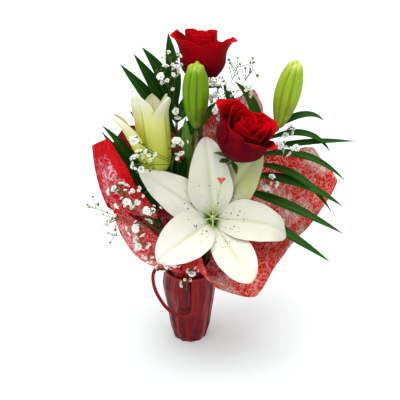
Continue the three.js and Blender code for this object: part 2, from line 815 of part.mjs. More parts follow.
// The stem with its swollen calyx under the bloom and five sepals.
function makeRoseStem(stem, rose) {
  const { axis, right, up } = frameOf(rose.axis);
  const top = vec(rose.base).addScaledVector(axis, -GAP);
  const calyx = turned(
    [[0, -12], [2.6, -10], [5.6, -4], [5, 0], [0, 0]],
    8,
    top.toArray(),
    rose.axis,
  );
  const sepals = Array.from({ length: SEPALS }, (_, k) => {
    const a = radians(82 + (360 / SEPALS) * k);
    const out = right.clone().multiplyScalar(Math.cos(a)).addScaledVector(up, Math.sin(a));
    const spot = (distance, height) =>
      top.clone().addScaledVector(out, distance).addScaledVector(axis, height).toArray();
    return leaf({
      from: spot(3.5, -4),
      via: spot(12, -6),
      to: spot(19, -3 - 6 * (k % 2)),
      width: 7,
      face: axis.toArray(),
      rows: 2,
    });
  });
  return join([rod(stem.path, stem.radius, stem.sides), calyx, ...sepals]);
}

// ---------------------------------------------------------------- fronds

// A frond: a rib through points, and leaflets given by the height at which they leave it,
// the point that they arch over and their tip.
const FRONDS = {
  frond_right: {
    rib: [[11, 7, 8], [12, 9, 100], [36, 18, 156], [66, 20, 225], [86, 20, 266]],
    leaflets: [
      { at: 0.99, via: [124, 20, 304], to: [146, 14, 287], width: 9 },
      { at: 0.94, via: [130, 12, 288], to: [154, 4, 254], width: 8.5 },
      { at: 0.88, via: [130, 10, 264], to: [179, 0, 269], width: 8 },
      { at: 0.82, via: [128, 0, 266], to: [170, -12, 227], width: 9.5 },
      { at: 0.76, via: [122, -12, 248], to: [156, -30, 197], width: 9 },
      { at: 0.7, via: [118, -18, 238], to: [167, -32, 206], width: 12 },
      { at: 0.64, via: [108, -34, 212], to: [167, -48, 181], width: 12 },
      { at: 0.57, via: [92, -44, 192], to: [153, -64, 155], width: 13 },
      { at: 0.9, via: [78, 40, 296], to: [50, 44, 318], width: 12 },
      { at: 0.8, via: [50, 38, 282], to: [36, 42, 326], width: 13 },
    ],
  },
  frond_back: {
    rib: [[-5, 9, 8], [-8, 17, 100], [-16, 30, 180], [-14, 34, 250], [-12, 32, 300]],
    leaflets: [
      { at: 0.99, via: [-18, 28, 345], to: [-21, 26, 384], width: 15 },
      { at: 0.93, via: [-24, 36, 326], to: [-49, 34, 364], width: 18 },
      { at: 0.86, via: [-32, 36, 306], to: [-58, 34, 356], width: 18 },
      { at: 0.78, via: [-40, 36, 296], to: [-73, 34, 344], width: 18 },
      { at: 0.86, via: [-2, 54, 282], to: [10, 72, 300], width: 16 },
      { at: 0.76, via: [8, 48, 256], to: [30, 60, 284], width: 18 },
      { at: 0.66, via: [-40, 34, 250], to: [-64, 28, 290], width: 18 },
      { at: 0.6, via: [-28, 30, 224], to: [-40, 24, 262], width: 19 },
      { at: 0.54, via: [-10, 26, 204], to: [0, 24, 240], width: 19 },
      { at: 0.5, via: [-26, 26, 186], to: [-34, 18, 214], width: 19 },
    ],
  },
  frond_left: {
    rib: [[-12, 0, 8], [-17, 3, 100], [-30, 6, 150], [-44, 8, 190]],
    leaflets: [
      { at: 0.99, via: [-62, 12, 246], to: [-94, 14, 280], width: 12 },
      { at: 0.9, via: [-66, 4, 232], to: [-94, 6, 277], width: 11 },
      { at: 0.8, via: [-58, -10, 206], to: [-74, -14, 234], width: 17 },
      { at: 0.72, via: [-46, -22, 184], to: [-58, -28, 214], width: 18 },
      { at: 0.64, via: [-34, -26, 158], to: [-36, -36, 190], width: 18 },
      { at: 0.85, via: [-42, 28, 216], to: [-54, 34, 244], width: 16 },
      { at: 0.97, via: [-48, 16, 224], to: [-46, 12, 256], width: 15 },
    ],
  },
};

function makeFrond({ rib, leaflets }) {
  const curve = new THREE.CatmullRomCurve3(rib.map(vec), false, "centripetal");
  return join([
    rod(rib, RIB.radius, RIB.sides),
    ...leaflets.map(({ at, via, to, width }) => {
      const spot = curve.getPoint(at);
      const from = spot.addScaledVector(vec(via).sub(spot).normalize(), 0.5).toArray();
      return leaf({ from, via, to, width, face: [0, -0.5, 1] });
    }),
  ]);
}

// ---------------------------------------------------------------- baby's breath

// Sprays: a thin stem, and sprigs that leave it at a share of its length and end in a head.
// From the head, florets and tiny closed buds spread on twigs of about the given reach.
const SPRAYS = {
  breath_upper_left: {
    path: [[-6, 2, 8], [-7, 6, 100], [-12, 12, 200], [-14, 8, 270], [-16, 6, 330]],
    sprigs: [
      { from: 0.97, head: [-13, 5, 355], florets: 3, reach: 9 },
      { from: 0.93, head: [-25, 5, 343], florets: 4, reach: 10 },
      { from: 0.88, head: [-45, 2, 326], florets: 3, reach: 9 },
      { from: 0.9, head: [-10, -6, 310], florets: 2, reach: 9 },
      { from: 0.98, head: [-20, 12, 366], florets: 1, buds: 2, reach: 12 },
    ],
  },
  breath_upper_right: {
    path: [[4, 4, 8], [6, 6, 100], [20, 16, 200], [30, 14, 270], [34, 11, 312]],
    sprigs: [
      { from: 0.98, head: [29, 8, 337], florets: 3, reach: 9 },
      { from: 0.96, head: [42, 8, 331], florets: 2, reach: 9 },
      { from: 0.9, head: [31, 2, 322], florets: 2, reach: 10 },
      { from: 0.86, head: [32, -4, 308], florets: 2, reach: 7 },
      { from: 0.97, head: [52, 14, 352], florets: 1, buds: 3, reach: 13 },
      { from: 0.94, head: [68, 15, 348], florets: 0, buds: 3, reach: 13 },
      { from: 0.86, head: [62, 18, 324], florets: 2, buds: 1, reach: 11 },
    ],
  },
  breath_half_lily: {
    path: [[-9, -4, 8], [-14, -4, 100], [-18, -14, 180], [-19, -20, 235], [-17, -30, 264]],
    sprigs: [
      { from: 0.99, head: [-55, -50, 300], florets: 2, reach: 8 },
      { from: 0.98, head: [-43, -48, 286], florets: 2, reach: 7 },
      { from: 0.95, head: [-12, -24, 284], florets: 3, reach: 9 },
      { from: 0.99, head: [-12, -32, 268], florets: 1, reach: 5 },
      { from: 0.97, head: [-53, -50, 272], florets: 4, reach: 10 },
    ],
  },
  breath_left: {
    path: [[-8, -8, 8], [-12, -12, 100], [-19, -33, 150], [-28, -50, 182], [-44, -62, 204]],
    sprigs: [
      { from: 0.99, head: [-74, -50, 240], florets: 3, reach: 12 },
      { from: 0.99, head: [-56, -58, 243], florets: 3, reach: 10 },
      { from: 0.97, head: [-64, -60, 226], florets: 3, reach: 11 },
      { from: 0.96, head: [-85, -54, 206], florets: 3, reach: 11 },
      { from: 0.92, head: [-40, -64, 224], florets: 3, reach: 10 },
      { from: 0.93, head: [-58, -66, 200], florets: 3, reach: 8 },
      { from: 0.9, head: [-82, -54, 182], florets: 2, reach: 9 },
      { from: 0.88, head: [-53, -66, 178], florets: 3, reach: 9 },
      { from: 0.86, head: [-84, -50, 148], florets: 1, buds: 1, reach: 12 },
      { from: 0.84, head: [-46, -64, 160], florets: 2, reach: 8 },
      { from: 0.95, head: [-104, -46, 214], florets: 0, buds: 2, reach: 10 },
    ],
  },
  breath_front: {
    path: [[1, -10, 8], [0, -14, 100], [-2, -21, 138], [-8, -42, 158]],
    sprigs: [
      { from: 0.97, head: [-32, -50, 134], florets: 1, reach: 6 },
      { from: 0.99, head: [-18, -56, 144], florets: 2, reach: 7 },
      { from: 0.94, head: [3, -46, 127], florets: 2, reach: 6 },
      { from: 0.93, head: [-2, -44, 107], florets: 1, buds: 1, reach: 7 },
      { from: 0.95, head: [-24, -42, 112], florets: 1, reach: 6 },
    ],
  },
  breath_right: {
    path: [[8, 2, 8], [11, 3, 100], [34, 10, 170], [64, 8, 222], [84, 2, 250]],
    sprigs: [
      { from: 0.99, head: [102, -4, 263], florets: 3, reach: 10 },
      { from: 0.9, head: [88, -22, 228], florets: 2, reach: 8 },
      { from: 0.97, head: [108, 4, 284], florets: 1, buds: 1, reach: 7 },
      { from: 0.99, head: [116, -8, 260], florets: 2, reach: 8 },
    ],
  },
};
const FLORET_RADII = [4.4, 2.6, 2.2]; // open wide, half open, just opening
const BUD_RADIUS = 1.2;
const BRANCH_RADIUS = 0.5;
const TWIGLET = 0.4;
const FLORET_FACE = new THREE.Vector3(0, -0.8, 0.6); // florets lean forward and to the light

// A small seeded generator of numbers from 0 to 1.
function seeded(seed) {
  let state = seed;
  return () => {
    state = (state + 0x6d2b79f5) | 0;
    let t = Math.imul(state ^ (state >>> 15), 1 | state);
    t = (t + Math.imul(t ^ (t >>> 7), 61 | t)) ^ t;
    return ((t ^ (t >>> 14)) >>> 0) / 4294967296;
  };
}

// A flower on its twig, turned in one piece: a twig that opens into a dish, or ends in a bead.
function onTwig(root, tip, radius, depth, rise) {
  const stalk = tip.clone().sub(root);
  const length = stalk.length();
  const profile = [
    [0, 0],
    [TWIGLET, 0],
    [TWIGLET, length - depth],
    [radius, length],
    [0, length + rise],
  ];
  return turned(profile, 3, root, stalk);
}

// The open florets have a five-petalled dish of their own; the small ones are half closed.
function floret(root, tip, r) {
  if (r < FLORET_RADII[0]) return onTwig(root, tip, r, 0.9 * r, -0.2 * r);
  const facing = tip.clone().sub(root);
  const dish = turned([[0, -0.8 * r], [r, 0.2 * r], [0, 0]], 5, tip, facing);
  const neck = tip.clone().addScaledVector(facing.normalize(), -0.4 * r);
  return dish.add(rod([root, neck], TWIGLET, 3, 1));
}

const budlet = (root, tip) => onTwig(root, tip, BUD_RADIUS, BUD_RADIUS, BUD_RADIUS);

// Nothing in a spray may touch another piece: what would is left out.
const clearOf = (solid, others) => others.every((other) => other.minGap(solid, 1) > 0.8 * GAP);

// A point at a share of a rod's length, on the rod as it is built: straight between its rings.
function onRod(path, share) {
  const curve = new THREE.CatmullRomCurve3(path.map(vec), false, "centripetal");
  const spot = Math.min(share * ROD_STEPS, ROD_STEPS - 1e-6);
  const ring = Math.floor(spot);
  const [low, high] = [ring, ring + 1].map((k) => curve.getPointAt(k / ROD_STEPS));
  return low.lerp(high, spot - ring);
}

function makeSpray({ path, sprigs }, seed, others) {
  const random = seeded(seed);
  const pieces = [rod(path, TWIG.radius, TWIG.sides)];
  for (const { from, head, florets, buds = 0, reach } of sprigs) {
    const start = onRod(path, from);
    const end = vec(head);
    const outward = end.clone().sub(start).normalize();
    const across = outward.clone().cross(new THREE.Vector3(1, 0, 0)).normalize();
    const branch = rod([start, head], BRANCH_RADIUS, 3, 1);
    const open = clearOf(branch, others);
    if (open) pieces.push(branch);
    for (let k = 0; k < florets + buds; k++) {
      const [a, b, c, d] = [random(), random(), random(), random()];
      const sideways = across
        .clone()
        .applyAxisAngle(outward, 2 * Math.PI * a)
        .addScaledVector(FLORET_FACE, 0.6)
        .normalize();
      const facing = sideways.addScaledVector(outward, 0.3 + 0.7 * b).normalize();
      const root = end.clone().addScaledVector(outward, -0.5 - (0.8 * reach * k) / (florets + buds));
      const tip = root.clone().addScaledVector(facing, reach * (0.7 + 0.6 * c));
      const size = FLORET_RADII[Math.floor(d * FLORET_RADII.length)];
      const flower = k < florets ? floret(root, tip, size) : budlet(root, tip);
      if (open && clearOf(flower, others)) pieces.push(flower);
    }
  }
  return join(pieces);
}

// ---------------------------------------------------------------- assembly

const finish = {
  film: { color: 0x8c1420, roughness: 0.22, metalness: 0 },
  web: { color: 0xb01f26, roughness: 0.7, metalness: 0 },
  ribbon: { color: 0x9a0f18, roughness: 0.35, metalness: 0 },
  tumbler: { color: 0xd8dcdc, roughness: 0.15, metalness: 0 },
  foam: { color: 0x2f5a3a, roughness: 0.95, metalness: 0 },
  tepal: { color: 0xf0efdf, roughness: 0.5, metalness: 0 },
  filament: { color: 0xb9cf7a, roughness: 0.5, metalness: 0 },
  stigma: { color: 0xd9512a, roughness: 0.6, metalness: 0 },
  paleTepal: { color: 0xcfd06a, roughness: 0.5, metalness: 0 },
  bud: { color: 0x7da321, roughness: 0.45, metalness: 0 },
  lilyStem: { color: 0x4f7f2a, roughness: 0.5, metalness: 0 },
  rose: { color: 0xb00713, roughness: 0.65, metalness: 0 },
  roseStem: { color: 0x38552a, roughness: 0.6, metalness: 0 },
  frond: { color: 0x2c5a2a, roughness: 0.5, metalness: 0 },
  breath: { color: 0xf2f1ea, roughness: 0.8, metalness: 0 },
};

const bouquet = new THREE.Group();
const placed = [];

function place(name, solid, look) {
  const mesh = new THREE.Mesh(
    geometryOf(solid),
    new THREE.MeshStandardMaterial(finish[look]),
  );
  mesh.name = name;
  bouquet.add(mesh);
  placed.push(solid);
}

const stems = [
  ...Object.values(STEMS),
  ...Object.values(FRONDS).map(({ rib }) => ({ path: rib, ...RIB })),
  ...Object.values(SPRAYS).map(({ path }) => ({ path, ...TWIG })),
];
place("foot_wrap", makeFootWrap(), "film");
place("tumbler", makeTumbler(), "tumbler");
place("foam_plug", makeFoam(stems), "foam");
place("collar_right", makeCollarRight(), "web");
place("collar_back", makeCollarBack(), "web");
place("collar_left", makeCollarLeft(), "web");
place("ribbon", makeRibbon(), "ribbon");
place("lily_stem", makeLilyStem(), "lilyStem");
place("lily_open", makeLilyOpen(), "tepal");
place("lily_filaments", makeLilyFilaments(), "filament");
place("lily_stigma", makeStigma(), "stigma");
place("lily_half", makeLilyHalf(), "paleTepal");
for (const [name, bud] of Object.entries(BUDS)) place(name, makeBud(bud), "bud");
for (const [name, rose] of Object.entries(ROSES)) {
  place(name, makeRose(rose, ROSE_PETALS[name]), "rose");
  place(name + "_stem", makeRoseStem(STEMS[name], rose), "roseStem");
}
for (const [name, frond] of Object.entries(FRONDS)) place(name, makeFrond(frond), "frond");
for (const [k, [name, spray]] of Object.entries(SPRAYS).entries())
  place(name, makeSpray(spray, 11 + k, placed), "breath");

export default bouquet;
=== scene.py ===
"""Looks for a small standing bouquet: open lily, half-open lily, two buds, two red roses, palm
fronds and baby's breath in a collar of red fibre web, on a foot wrapped in red film.

Shapes are worked out in millimetres in the CAD frame and put into meshes in metres. A shape is
a dictionary of points, quads, triangles, a uv for each point and any named numbers on points.
"""

import math

import bpy
import numpy as np
from mathutils.bvhtree import BVHTree
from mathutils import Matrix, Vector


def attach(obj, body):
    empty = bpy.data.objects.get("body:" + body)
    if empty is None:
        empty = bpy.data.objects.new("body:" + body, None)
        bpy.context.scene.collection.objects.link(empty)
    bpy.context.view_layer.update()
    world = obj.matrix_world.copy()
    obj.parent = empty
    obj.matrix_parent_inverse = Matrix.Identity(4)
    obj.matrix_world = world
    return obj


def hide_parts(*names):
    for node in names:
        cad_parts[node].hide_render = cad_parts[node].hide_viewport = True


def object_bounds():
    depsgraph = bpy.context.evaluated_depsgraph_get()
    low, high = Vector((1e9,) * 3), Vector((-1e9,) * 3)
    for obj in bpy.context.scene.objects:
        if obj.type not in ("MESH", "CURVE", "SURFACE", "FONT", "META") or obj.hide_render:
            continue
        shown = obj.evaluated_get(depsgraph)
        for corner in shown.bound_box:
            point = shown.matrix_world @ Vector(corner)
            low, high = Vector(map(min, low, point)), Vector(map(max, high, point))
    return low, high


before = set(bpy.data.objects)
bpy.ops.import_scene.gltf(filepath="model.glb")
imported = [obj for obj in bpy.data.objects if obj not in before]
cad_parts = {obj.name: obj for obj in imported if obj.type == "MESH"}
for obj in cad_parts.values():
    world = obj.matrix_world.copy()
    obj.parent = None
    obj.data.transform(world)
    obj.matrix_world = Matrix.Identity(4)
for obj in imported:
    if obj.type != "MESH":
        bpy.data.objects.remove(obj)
cad_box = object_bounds()
cad_nodes = [o.name for o in bpy.data.objects if o.type == "MESH"]

MM = 0.001
rad = math.radians
UV_STEP = 10.0  # millimetres of a tube for one step of its u
OCTAVES, SINES = 3, 3  # of a ripple, and sines to each
SHARP_EDGE = 50  # degrees between faces from which an edge stays sharp

# ------------------------------------------------------------------ camera, floor and light

CAMERA_TILT = 34  # degrees below level
CAMERA_REACH = 1250  # from the lens to the middle of the view
VIEW_MIDDLE = (12.2, 0, 192.2)
LENS = 100.4
FLOOR_REACH = 6.0  # metres each way
WORLD_GLOW = 0.5
STUDIO_LIGHTS = [  # name, place, aim, size, all in metres, and power
    ("overhead", (-0.06, -0.08, 1.9), (0, 0, 0.15), 1.6, 27),
    ("left_window", (-1.1, -0.75, 0.75), (0, 0, 0.2), 0.7, 2.4),
]


def add(name, data):
    """A new object in the scene."""
    made = bpy.data.objects.new(name, data)
    bpy.context.scene.collection.objects.link(made)
    return made


def make_camera():
    """The camera looks along +Y, tilted down, from its reach away from the middle of the view."""
    data = bpy.data.cameras.new("camera")
    data.lens = LENS
    data.sensor_width = 36
    data.clip_end = 20
    camera = add("camera", data)
    tilt = rad(CAMERA_TILT)
    away = CAMERA_REACH * np.array([0, -math.cos(tilt), math.sin(tilt)])
    camera.location = (np.array(VIEW_MIDDLE) + away) * MM
    camera.rotation_euler = (math.pi / 2 - tilt, 0, 0)
    bpy.context.scene.camera = camera


def make_light(name, place, aim, size, power):
    """A square soft light at place that faces aim."""
    data = bpy.data.lights.new(name, "AREA")
    data.shape = "SQUARE"
    data.size = size
    data.energy = power
    light = add(name, data)
    light.location = place
    x, y, z = np.array(aim) - np.array(place)
    light.rotation_euler = (math.atan2(math.hypot(x, y), -z), 0, math.atan2(y, x) - math.pi / 2)


def make_studio():
    """Plain white floor and world, a broad light above and a weaker one at the left."""
    floor_mesh = bpy.data.meshes.new("floor")
    corners = [(x * FLOOR_REACH, y * FLOOR_REACH, 0) for x, y in ((-1, -1), (1, -1), (1, 1), (-1, 1))]
    floor_mesh.from_pydata(corners, [], [(0, 1, 2, 3)])
    floor_mesh.materials.append(floor_paint())
    add("floor", floor_mesh)
    world = bpy.data.worlds.new("studio")
    world.use_nodes = True
    background = world.node_tree.nodes["Background"]
    background.inputs["Color"].default_value = (1, 1, 1, 1)
    background.inputs["Strength"].default_value = WORLD_GLOW
    bpy.context.scene.world = world
    for light in STUDIO_LIGHTS:
        make_light(*light)
    bpy.context.scene.view_settings.view_transform = "Standard"
    bpy.context.scene.view_settings.look = "Medium High Contrast"


# ------------------------------------------------------------------ numbers and shapes


def unit(a):
    """Vectors of length one along the last axis."""
    return a / np.maximum(np.linalg.norm(a, axis=-1, keepdims=True), 1e-12)


def smoothstep(x, low, high):
    t = np.clip((x - low) / (high - low), 0, 1)
    return t * t * (3 - 2 * t)


def lerp(a, b, t):
    return a + (b - a) * t


def along(keys, x):
    """Values that run through keys (x, value, ...) in straight steps; a last axis for values."""
    keys = np.array(keys, float)
    return np.stack([np.interp(x, keys[:, 0], k) for k in keys[:, 1:].T], -1)


def smooth_along(keys, x):
    """The same through a cubic on each step, with the slope at a key half from each side."""
    keys = np.array(keys, float)
    place, values = keys[:, 0], keys[:, 1:]
    slope = np.gradient(values, place, axis=0)
    x = np.clip(x, place[0], place[-1])
    k = np.clip(np.searchsorted(place, x, side="right") - 1, 0, len(place) - 2)
    step = (place[k + 1] - place[k])[..., None]
    t = (x - place[k])[..., None] / step
    a, b = values[k], values[k + 1]
    m, n = slope[k] * step, slope[k + 1] * step
    curve = a + t * (m + t * (3 * (b - a) - 2 * m - n + t * (2 * (a - b) + m + n)))
    return lerp(a + (b - a) * t, curve, 0.5)


def ripple(x, y, seed):
    """A smooth uneven field of about -1 to 1: sums of sines in turned directions, each octave
    about twice as fine and 0.6 as strong as the one before."""
    rng = np.random.default_rng(seed)
    total, weight = 0.0, 0.0
    for k in range(OCTAVES):
        for _ in range(SINES):
            turn, shift = rng.uniform(0, 2 * np.pi, 2)
            pace = 2.0**k * rng.uniform(0.8, 1.25)
            total = total + 0.6**k * np.sin(pace * (x * np.cos(turn) + y * np.sin(turn)) + shift)
            weight += 0.6**k
    return total / weight * 1.6


def grid(rows, columns):
    """u down the rows and v across the columns, both from 0 to 1."""
    return np.meshgrid(np.linspace(0, 1, rows + 1), np.linspace(0, 1, columns + 1), indexing="ij")


def grid_quads(rows, columns, closed=False):
    """Quads of a grid of points; a closed grid joins its last column to its first."""
    stride = columns if closed else columns + 1
    i, j = np.meshgrid(np.arange(rows), np.arange(columns), indexing="ij")
    a = (i * stride + j).ravel()
    d = (i * stride + (j + 1) % stride).ravel()
    return np.stack([a, a + stride, d + stride, d], 1)


def shape_of(points, quads, uv, triangles=(), **numbers):
    return {
        "points": np.asarray(points, float).reshape(-1, 3),
        "quads": np.asarray(quads, int).reshape(-1, 4),
        "triangles": np.asarray(triangles, int).reshape(-1, 3),
        "uv": np.asarray(uv, float).reshape(-1, 2),
        "numbers": numbers,
    }


def together(shapes):
    """Several shapes as one; a number that a shape lacks is 0 on it."""
    names = sorted({n for s in shapes for n in s["numbers"]})
    starts = np.cumsum([0] + [len(s["points"]) for s in shapes])
    return {
        "points": np.concatenate([s["points"] for s in shapes]),
        "quads": np.concatenate([s["quads"] + k for s, k in zip(shapes, starts)]),
        "triangles": np.concatenate([s["triangles"] + k for s, k in zip(shapes, starts)]),
        "uv": np.concatenate([s["uv"] for s in shapes]),
        "numbers": {
            n: np.concatenate([np.broadcast_to(s["numbers"].get(n, 0.0), len(s["points"])) for s in shapes])
            for n in names
        },
    }


def blade(surface, thickness, uv, **numbers):
    """A closed thin solid about a grid of points: each point moves half the thickness both
    ways along the normal, and the two faces are joined round the edge. side is 1 on the face
    that the normal of rows by columns points out of, and 0 on the other."""
    rows, columns = surface.shape[0] - 1, surface.shape[1] - 1
    normal = unit(np.cross(np.gradient(surface, axis=0), np.gradient(surface, axis=1)))
    half = np.broadcast_to(thickness, surface.shape[:2])[..., None] / 2
    count = (rows + 1) * (columns + 1)
    index = np.arange(count).reshape(rows + 1, columns + 1)
    edge = np.concatenate([index[:, 0], index[-1, 1:], index[-2::-1, -1], index[0, -2:0:-1]])
    after = np.roll(edge, -1)
    quads = grid_quads(rows, columns)
    wall = np.stack([edge, edge + count, after + count, after], 1)
    flat = {n: np.broadcast_to(v, surface.shape[:2]).ravel() for n, v in numbers.items()}
    return shape_of(
        np.concatenate([surface + half * normal, surface - half * normal], 0),
        np.concatenate([quads, quads[:, ::-1] + count, wall]),
        np.tile(np.asarray(uv).reshape(-1, 2), (2, 1)),
        side=np.repeat([1.0, 0.0], count),
        **{n: np.tile(v, 2) for n, v in flat.items()},
    )


def chain(points, count):
    """Points along a centripetal Catmull-Rom curve through the given ones, as three.js has it:
    the parameter's steps are even from one given point to the next."""
    p = np.array(points, float)
    p = np.concatenate([[2 * p[0] - p[1]], p, [2 * p[-1] - p[-2]]])
    spot = np.linspace(0, len(p) - 3, count)
    k = np.minimum(spot.astype(int), len(p) - 4)
    w = (spot - k)[:, None]
    knots = [p[k + n] for n in range(4)]
    p0, p1, p2, p3 = knots
    d0, d1, d2 = (np.linalg.norm(b - a, axis=1, keepdims=True) ** 0.5 for a, b in zip(knots, knots[1:]))
    m1 = ((p1 - p0) / d0 - (p2 - p0) / (d0 + d1) + (p2 - p1) / d1) * d1
    m2 = ((p2 - p1) / d1 - (p3 - p1) / (d1 + d2) + (p3 - p2) / d2) * d1
    return p1 + w * (m1 + w * (3 * (p2 - p1) - 2 * m1 - m2 + w * (2 * (p1 - p2) + m1 + m2)))


def distances(line):
    """How far along a line each of its points is."""
    return np.concatenate([[0], np.cumsum(np.linalg.norm(np.diff(line, axis=0), axis=1))])


def evenly(line, shares):
    """Points on a line at shares of its length."""
    length = distances(line)
    return np.stack([np.interp(np.asarray(shares) * length[-1], length, c) for c in line.T], -1)


def frames(line):
    """Two directions square to a line at each point, carried along it without a twist."""
    tangent = unit(np.gradient(line, axis=0))
    first = np.cross(tangent[0], [0, 0, 1] if abs(tangent[0][2]) < 0.9 else [1, 0, 0])
    side = np.empty_like(line)
    side[0] = unit(first)
    for k in range(1, len(line)):
        side[k] = unit(side[k - 1] - tangent[k] * (side[k - 1] @ tangent[k]))
    return side, np.cross(tangent, side)


def closed_rings(points, uv, poles, pole_uv):
    """A closed skin over rings of points, whose first and last ring each close on a pole."""
    rings, sides = points.shape[:2]
    k, count = np.arange(sides), rings * sides
    after, last = (k + 1) % sides, count - sides
    fans = [
        np.stack([after, k, np.full(sides, count)], 1),
        np.stack([last + k, last + after, np.full(sides, count + 1)], 1),
    ]
    return shape_of(
        np.concatenate([points.reshape(-1, 3), poles]),
        grid_quads(rings - 1, sides, closed=True)[:, ::-1],
        np.concatenate([uv.reshape(-1, 2), pole_uv]),
        np.concatenate(fans),
    )


def around(angle, right, up):
    """Directions at an angle between right and up."""
    return np.cos(angle)[..., None] * right + np.sin(angle)[..., None] * up


def about_axis(base, axis, radius, angle, height):
    """Points at a radius, an angle and a height about an axis that starts at base."""
    a, right, up = axes(axis)
    return np.array(base, float) + radius[..., None] * around(angle, right, up) + height[..., None] * a


def tube(line, radius, sides):
    """A closed round tube along a line; the radius may change along it, and each end closes on
    its own middle point."""
    line = np.asarray(line, float)
    side, up = frames(line)
    turn = np.linspace(0, 2 * np.pi, sides, endpoint=False)
    radius = np.broadcast_to(radius, len(line))[:, None, None]
    points = line[:, None] + radius * around(turn[None], side[:, None], up[:, None])
    u = distances(line) / UV_STEP
    uv = np.stack(np.meshgrid(u, np.arange(sides) / sides, indexing="ij"), -1)
    return closed_rings(points, uv, line[[0, -1]], [[u[0], 0.5], [u[-1], 0.5]])


def axes(axis):
    """An axis and two directions square to it: right points to +X and up to the axis's up."""
    a = unit(np.array(axis, float))
    right = unit(np.array([1.0, 0, 0]) - a * a[0])
    return a, right, np.cross(a, right)


def turned(profile, sides, base, axis, form=None):
    """A profile of (radius, height) that starts and ends on the axis, turned about it. form may
    change the radius by height and bearing."""
    profile = np.array(profile, float)
    radius, height = np.repeat(profile[1:-1, :, None], sides, 2).transpose(1, 0, 2)
    bearing = np.broadcast_to(np.linspace(0, 2 * np.pi, sides, endpoint=False), radius.shape)
    if form is not None:
        radius = form(radius, height, bearing)
    poles = np.array(base, float) + profile[[0, -1], 1:] * axes(axis)[0]
    uv = np.stack([height / max(profile[:, 1].max(), 1e-6), bearing / (2 * np.pi)], -1)
    return closed_rings(about_axis(base, axis, radius, bearing, height), uv, poles, [[0, 0.5], [1, 0.5]])


def piece(name, shape, paint, node):
    """A shape as an object: a mesh in metres with its uv and numbers, smooth but for sharp
    edges, which rides on the bouquet and stands for a CAD node."""
    mesh = bpy.data.meshes.new(name)
    faces = shape["quads"].tolist() + shape["triangles"].tolist()
    mesh.from_pydata((shape["points"] * MM).tolist(), [], faces)
    corner = np.empty(len(mesh.loops), int)
    mesh.loops.foreach_get("vertex_index", corner)
    mesh.uv_layers.new(name="uv").data.foreach_set("uv", shape["uv"][corner].ravel())
    for number, values in shape["numbers"].items():
        layer = mesh.attributes.new(number, "FLOAT", "POINT")
        layer.data.foreach_set("value", np.asarray(values, np.float32))
    mesh.polygons.foreach_set("use_smooth", np.ones(len(mesh.polygons), bool))
    mesh.set_sharp_from_angle(angle=rad(SHARP_EDGE))
    mesh.materials.append(paint)
    mesh.update()
    made = add(name, mesh)
    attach(made, "root")
    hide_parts(node)
    return made


# ------------------------------------------------------------------ paint


def tint(red, green, blue):
    """A colour given as a screen shows it, 0 to 255, as the light it stands for."""
    c = np.array([red, green, blue]) / 255
    return (*np.where(c <= 0.04045, c / 12.92, ((c + 0.055) / 1.055) ** 2.4).tolist(), 1.0)


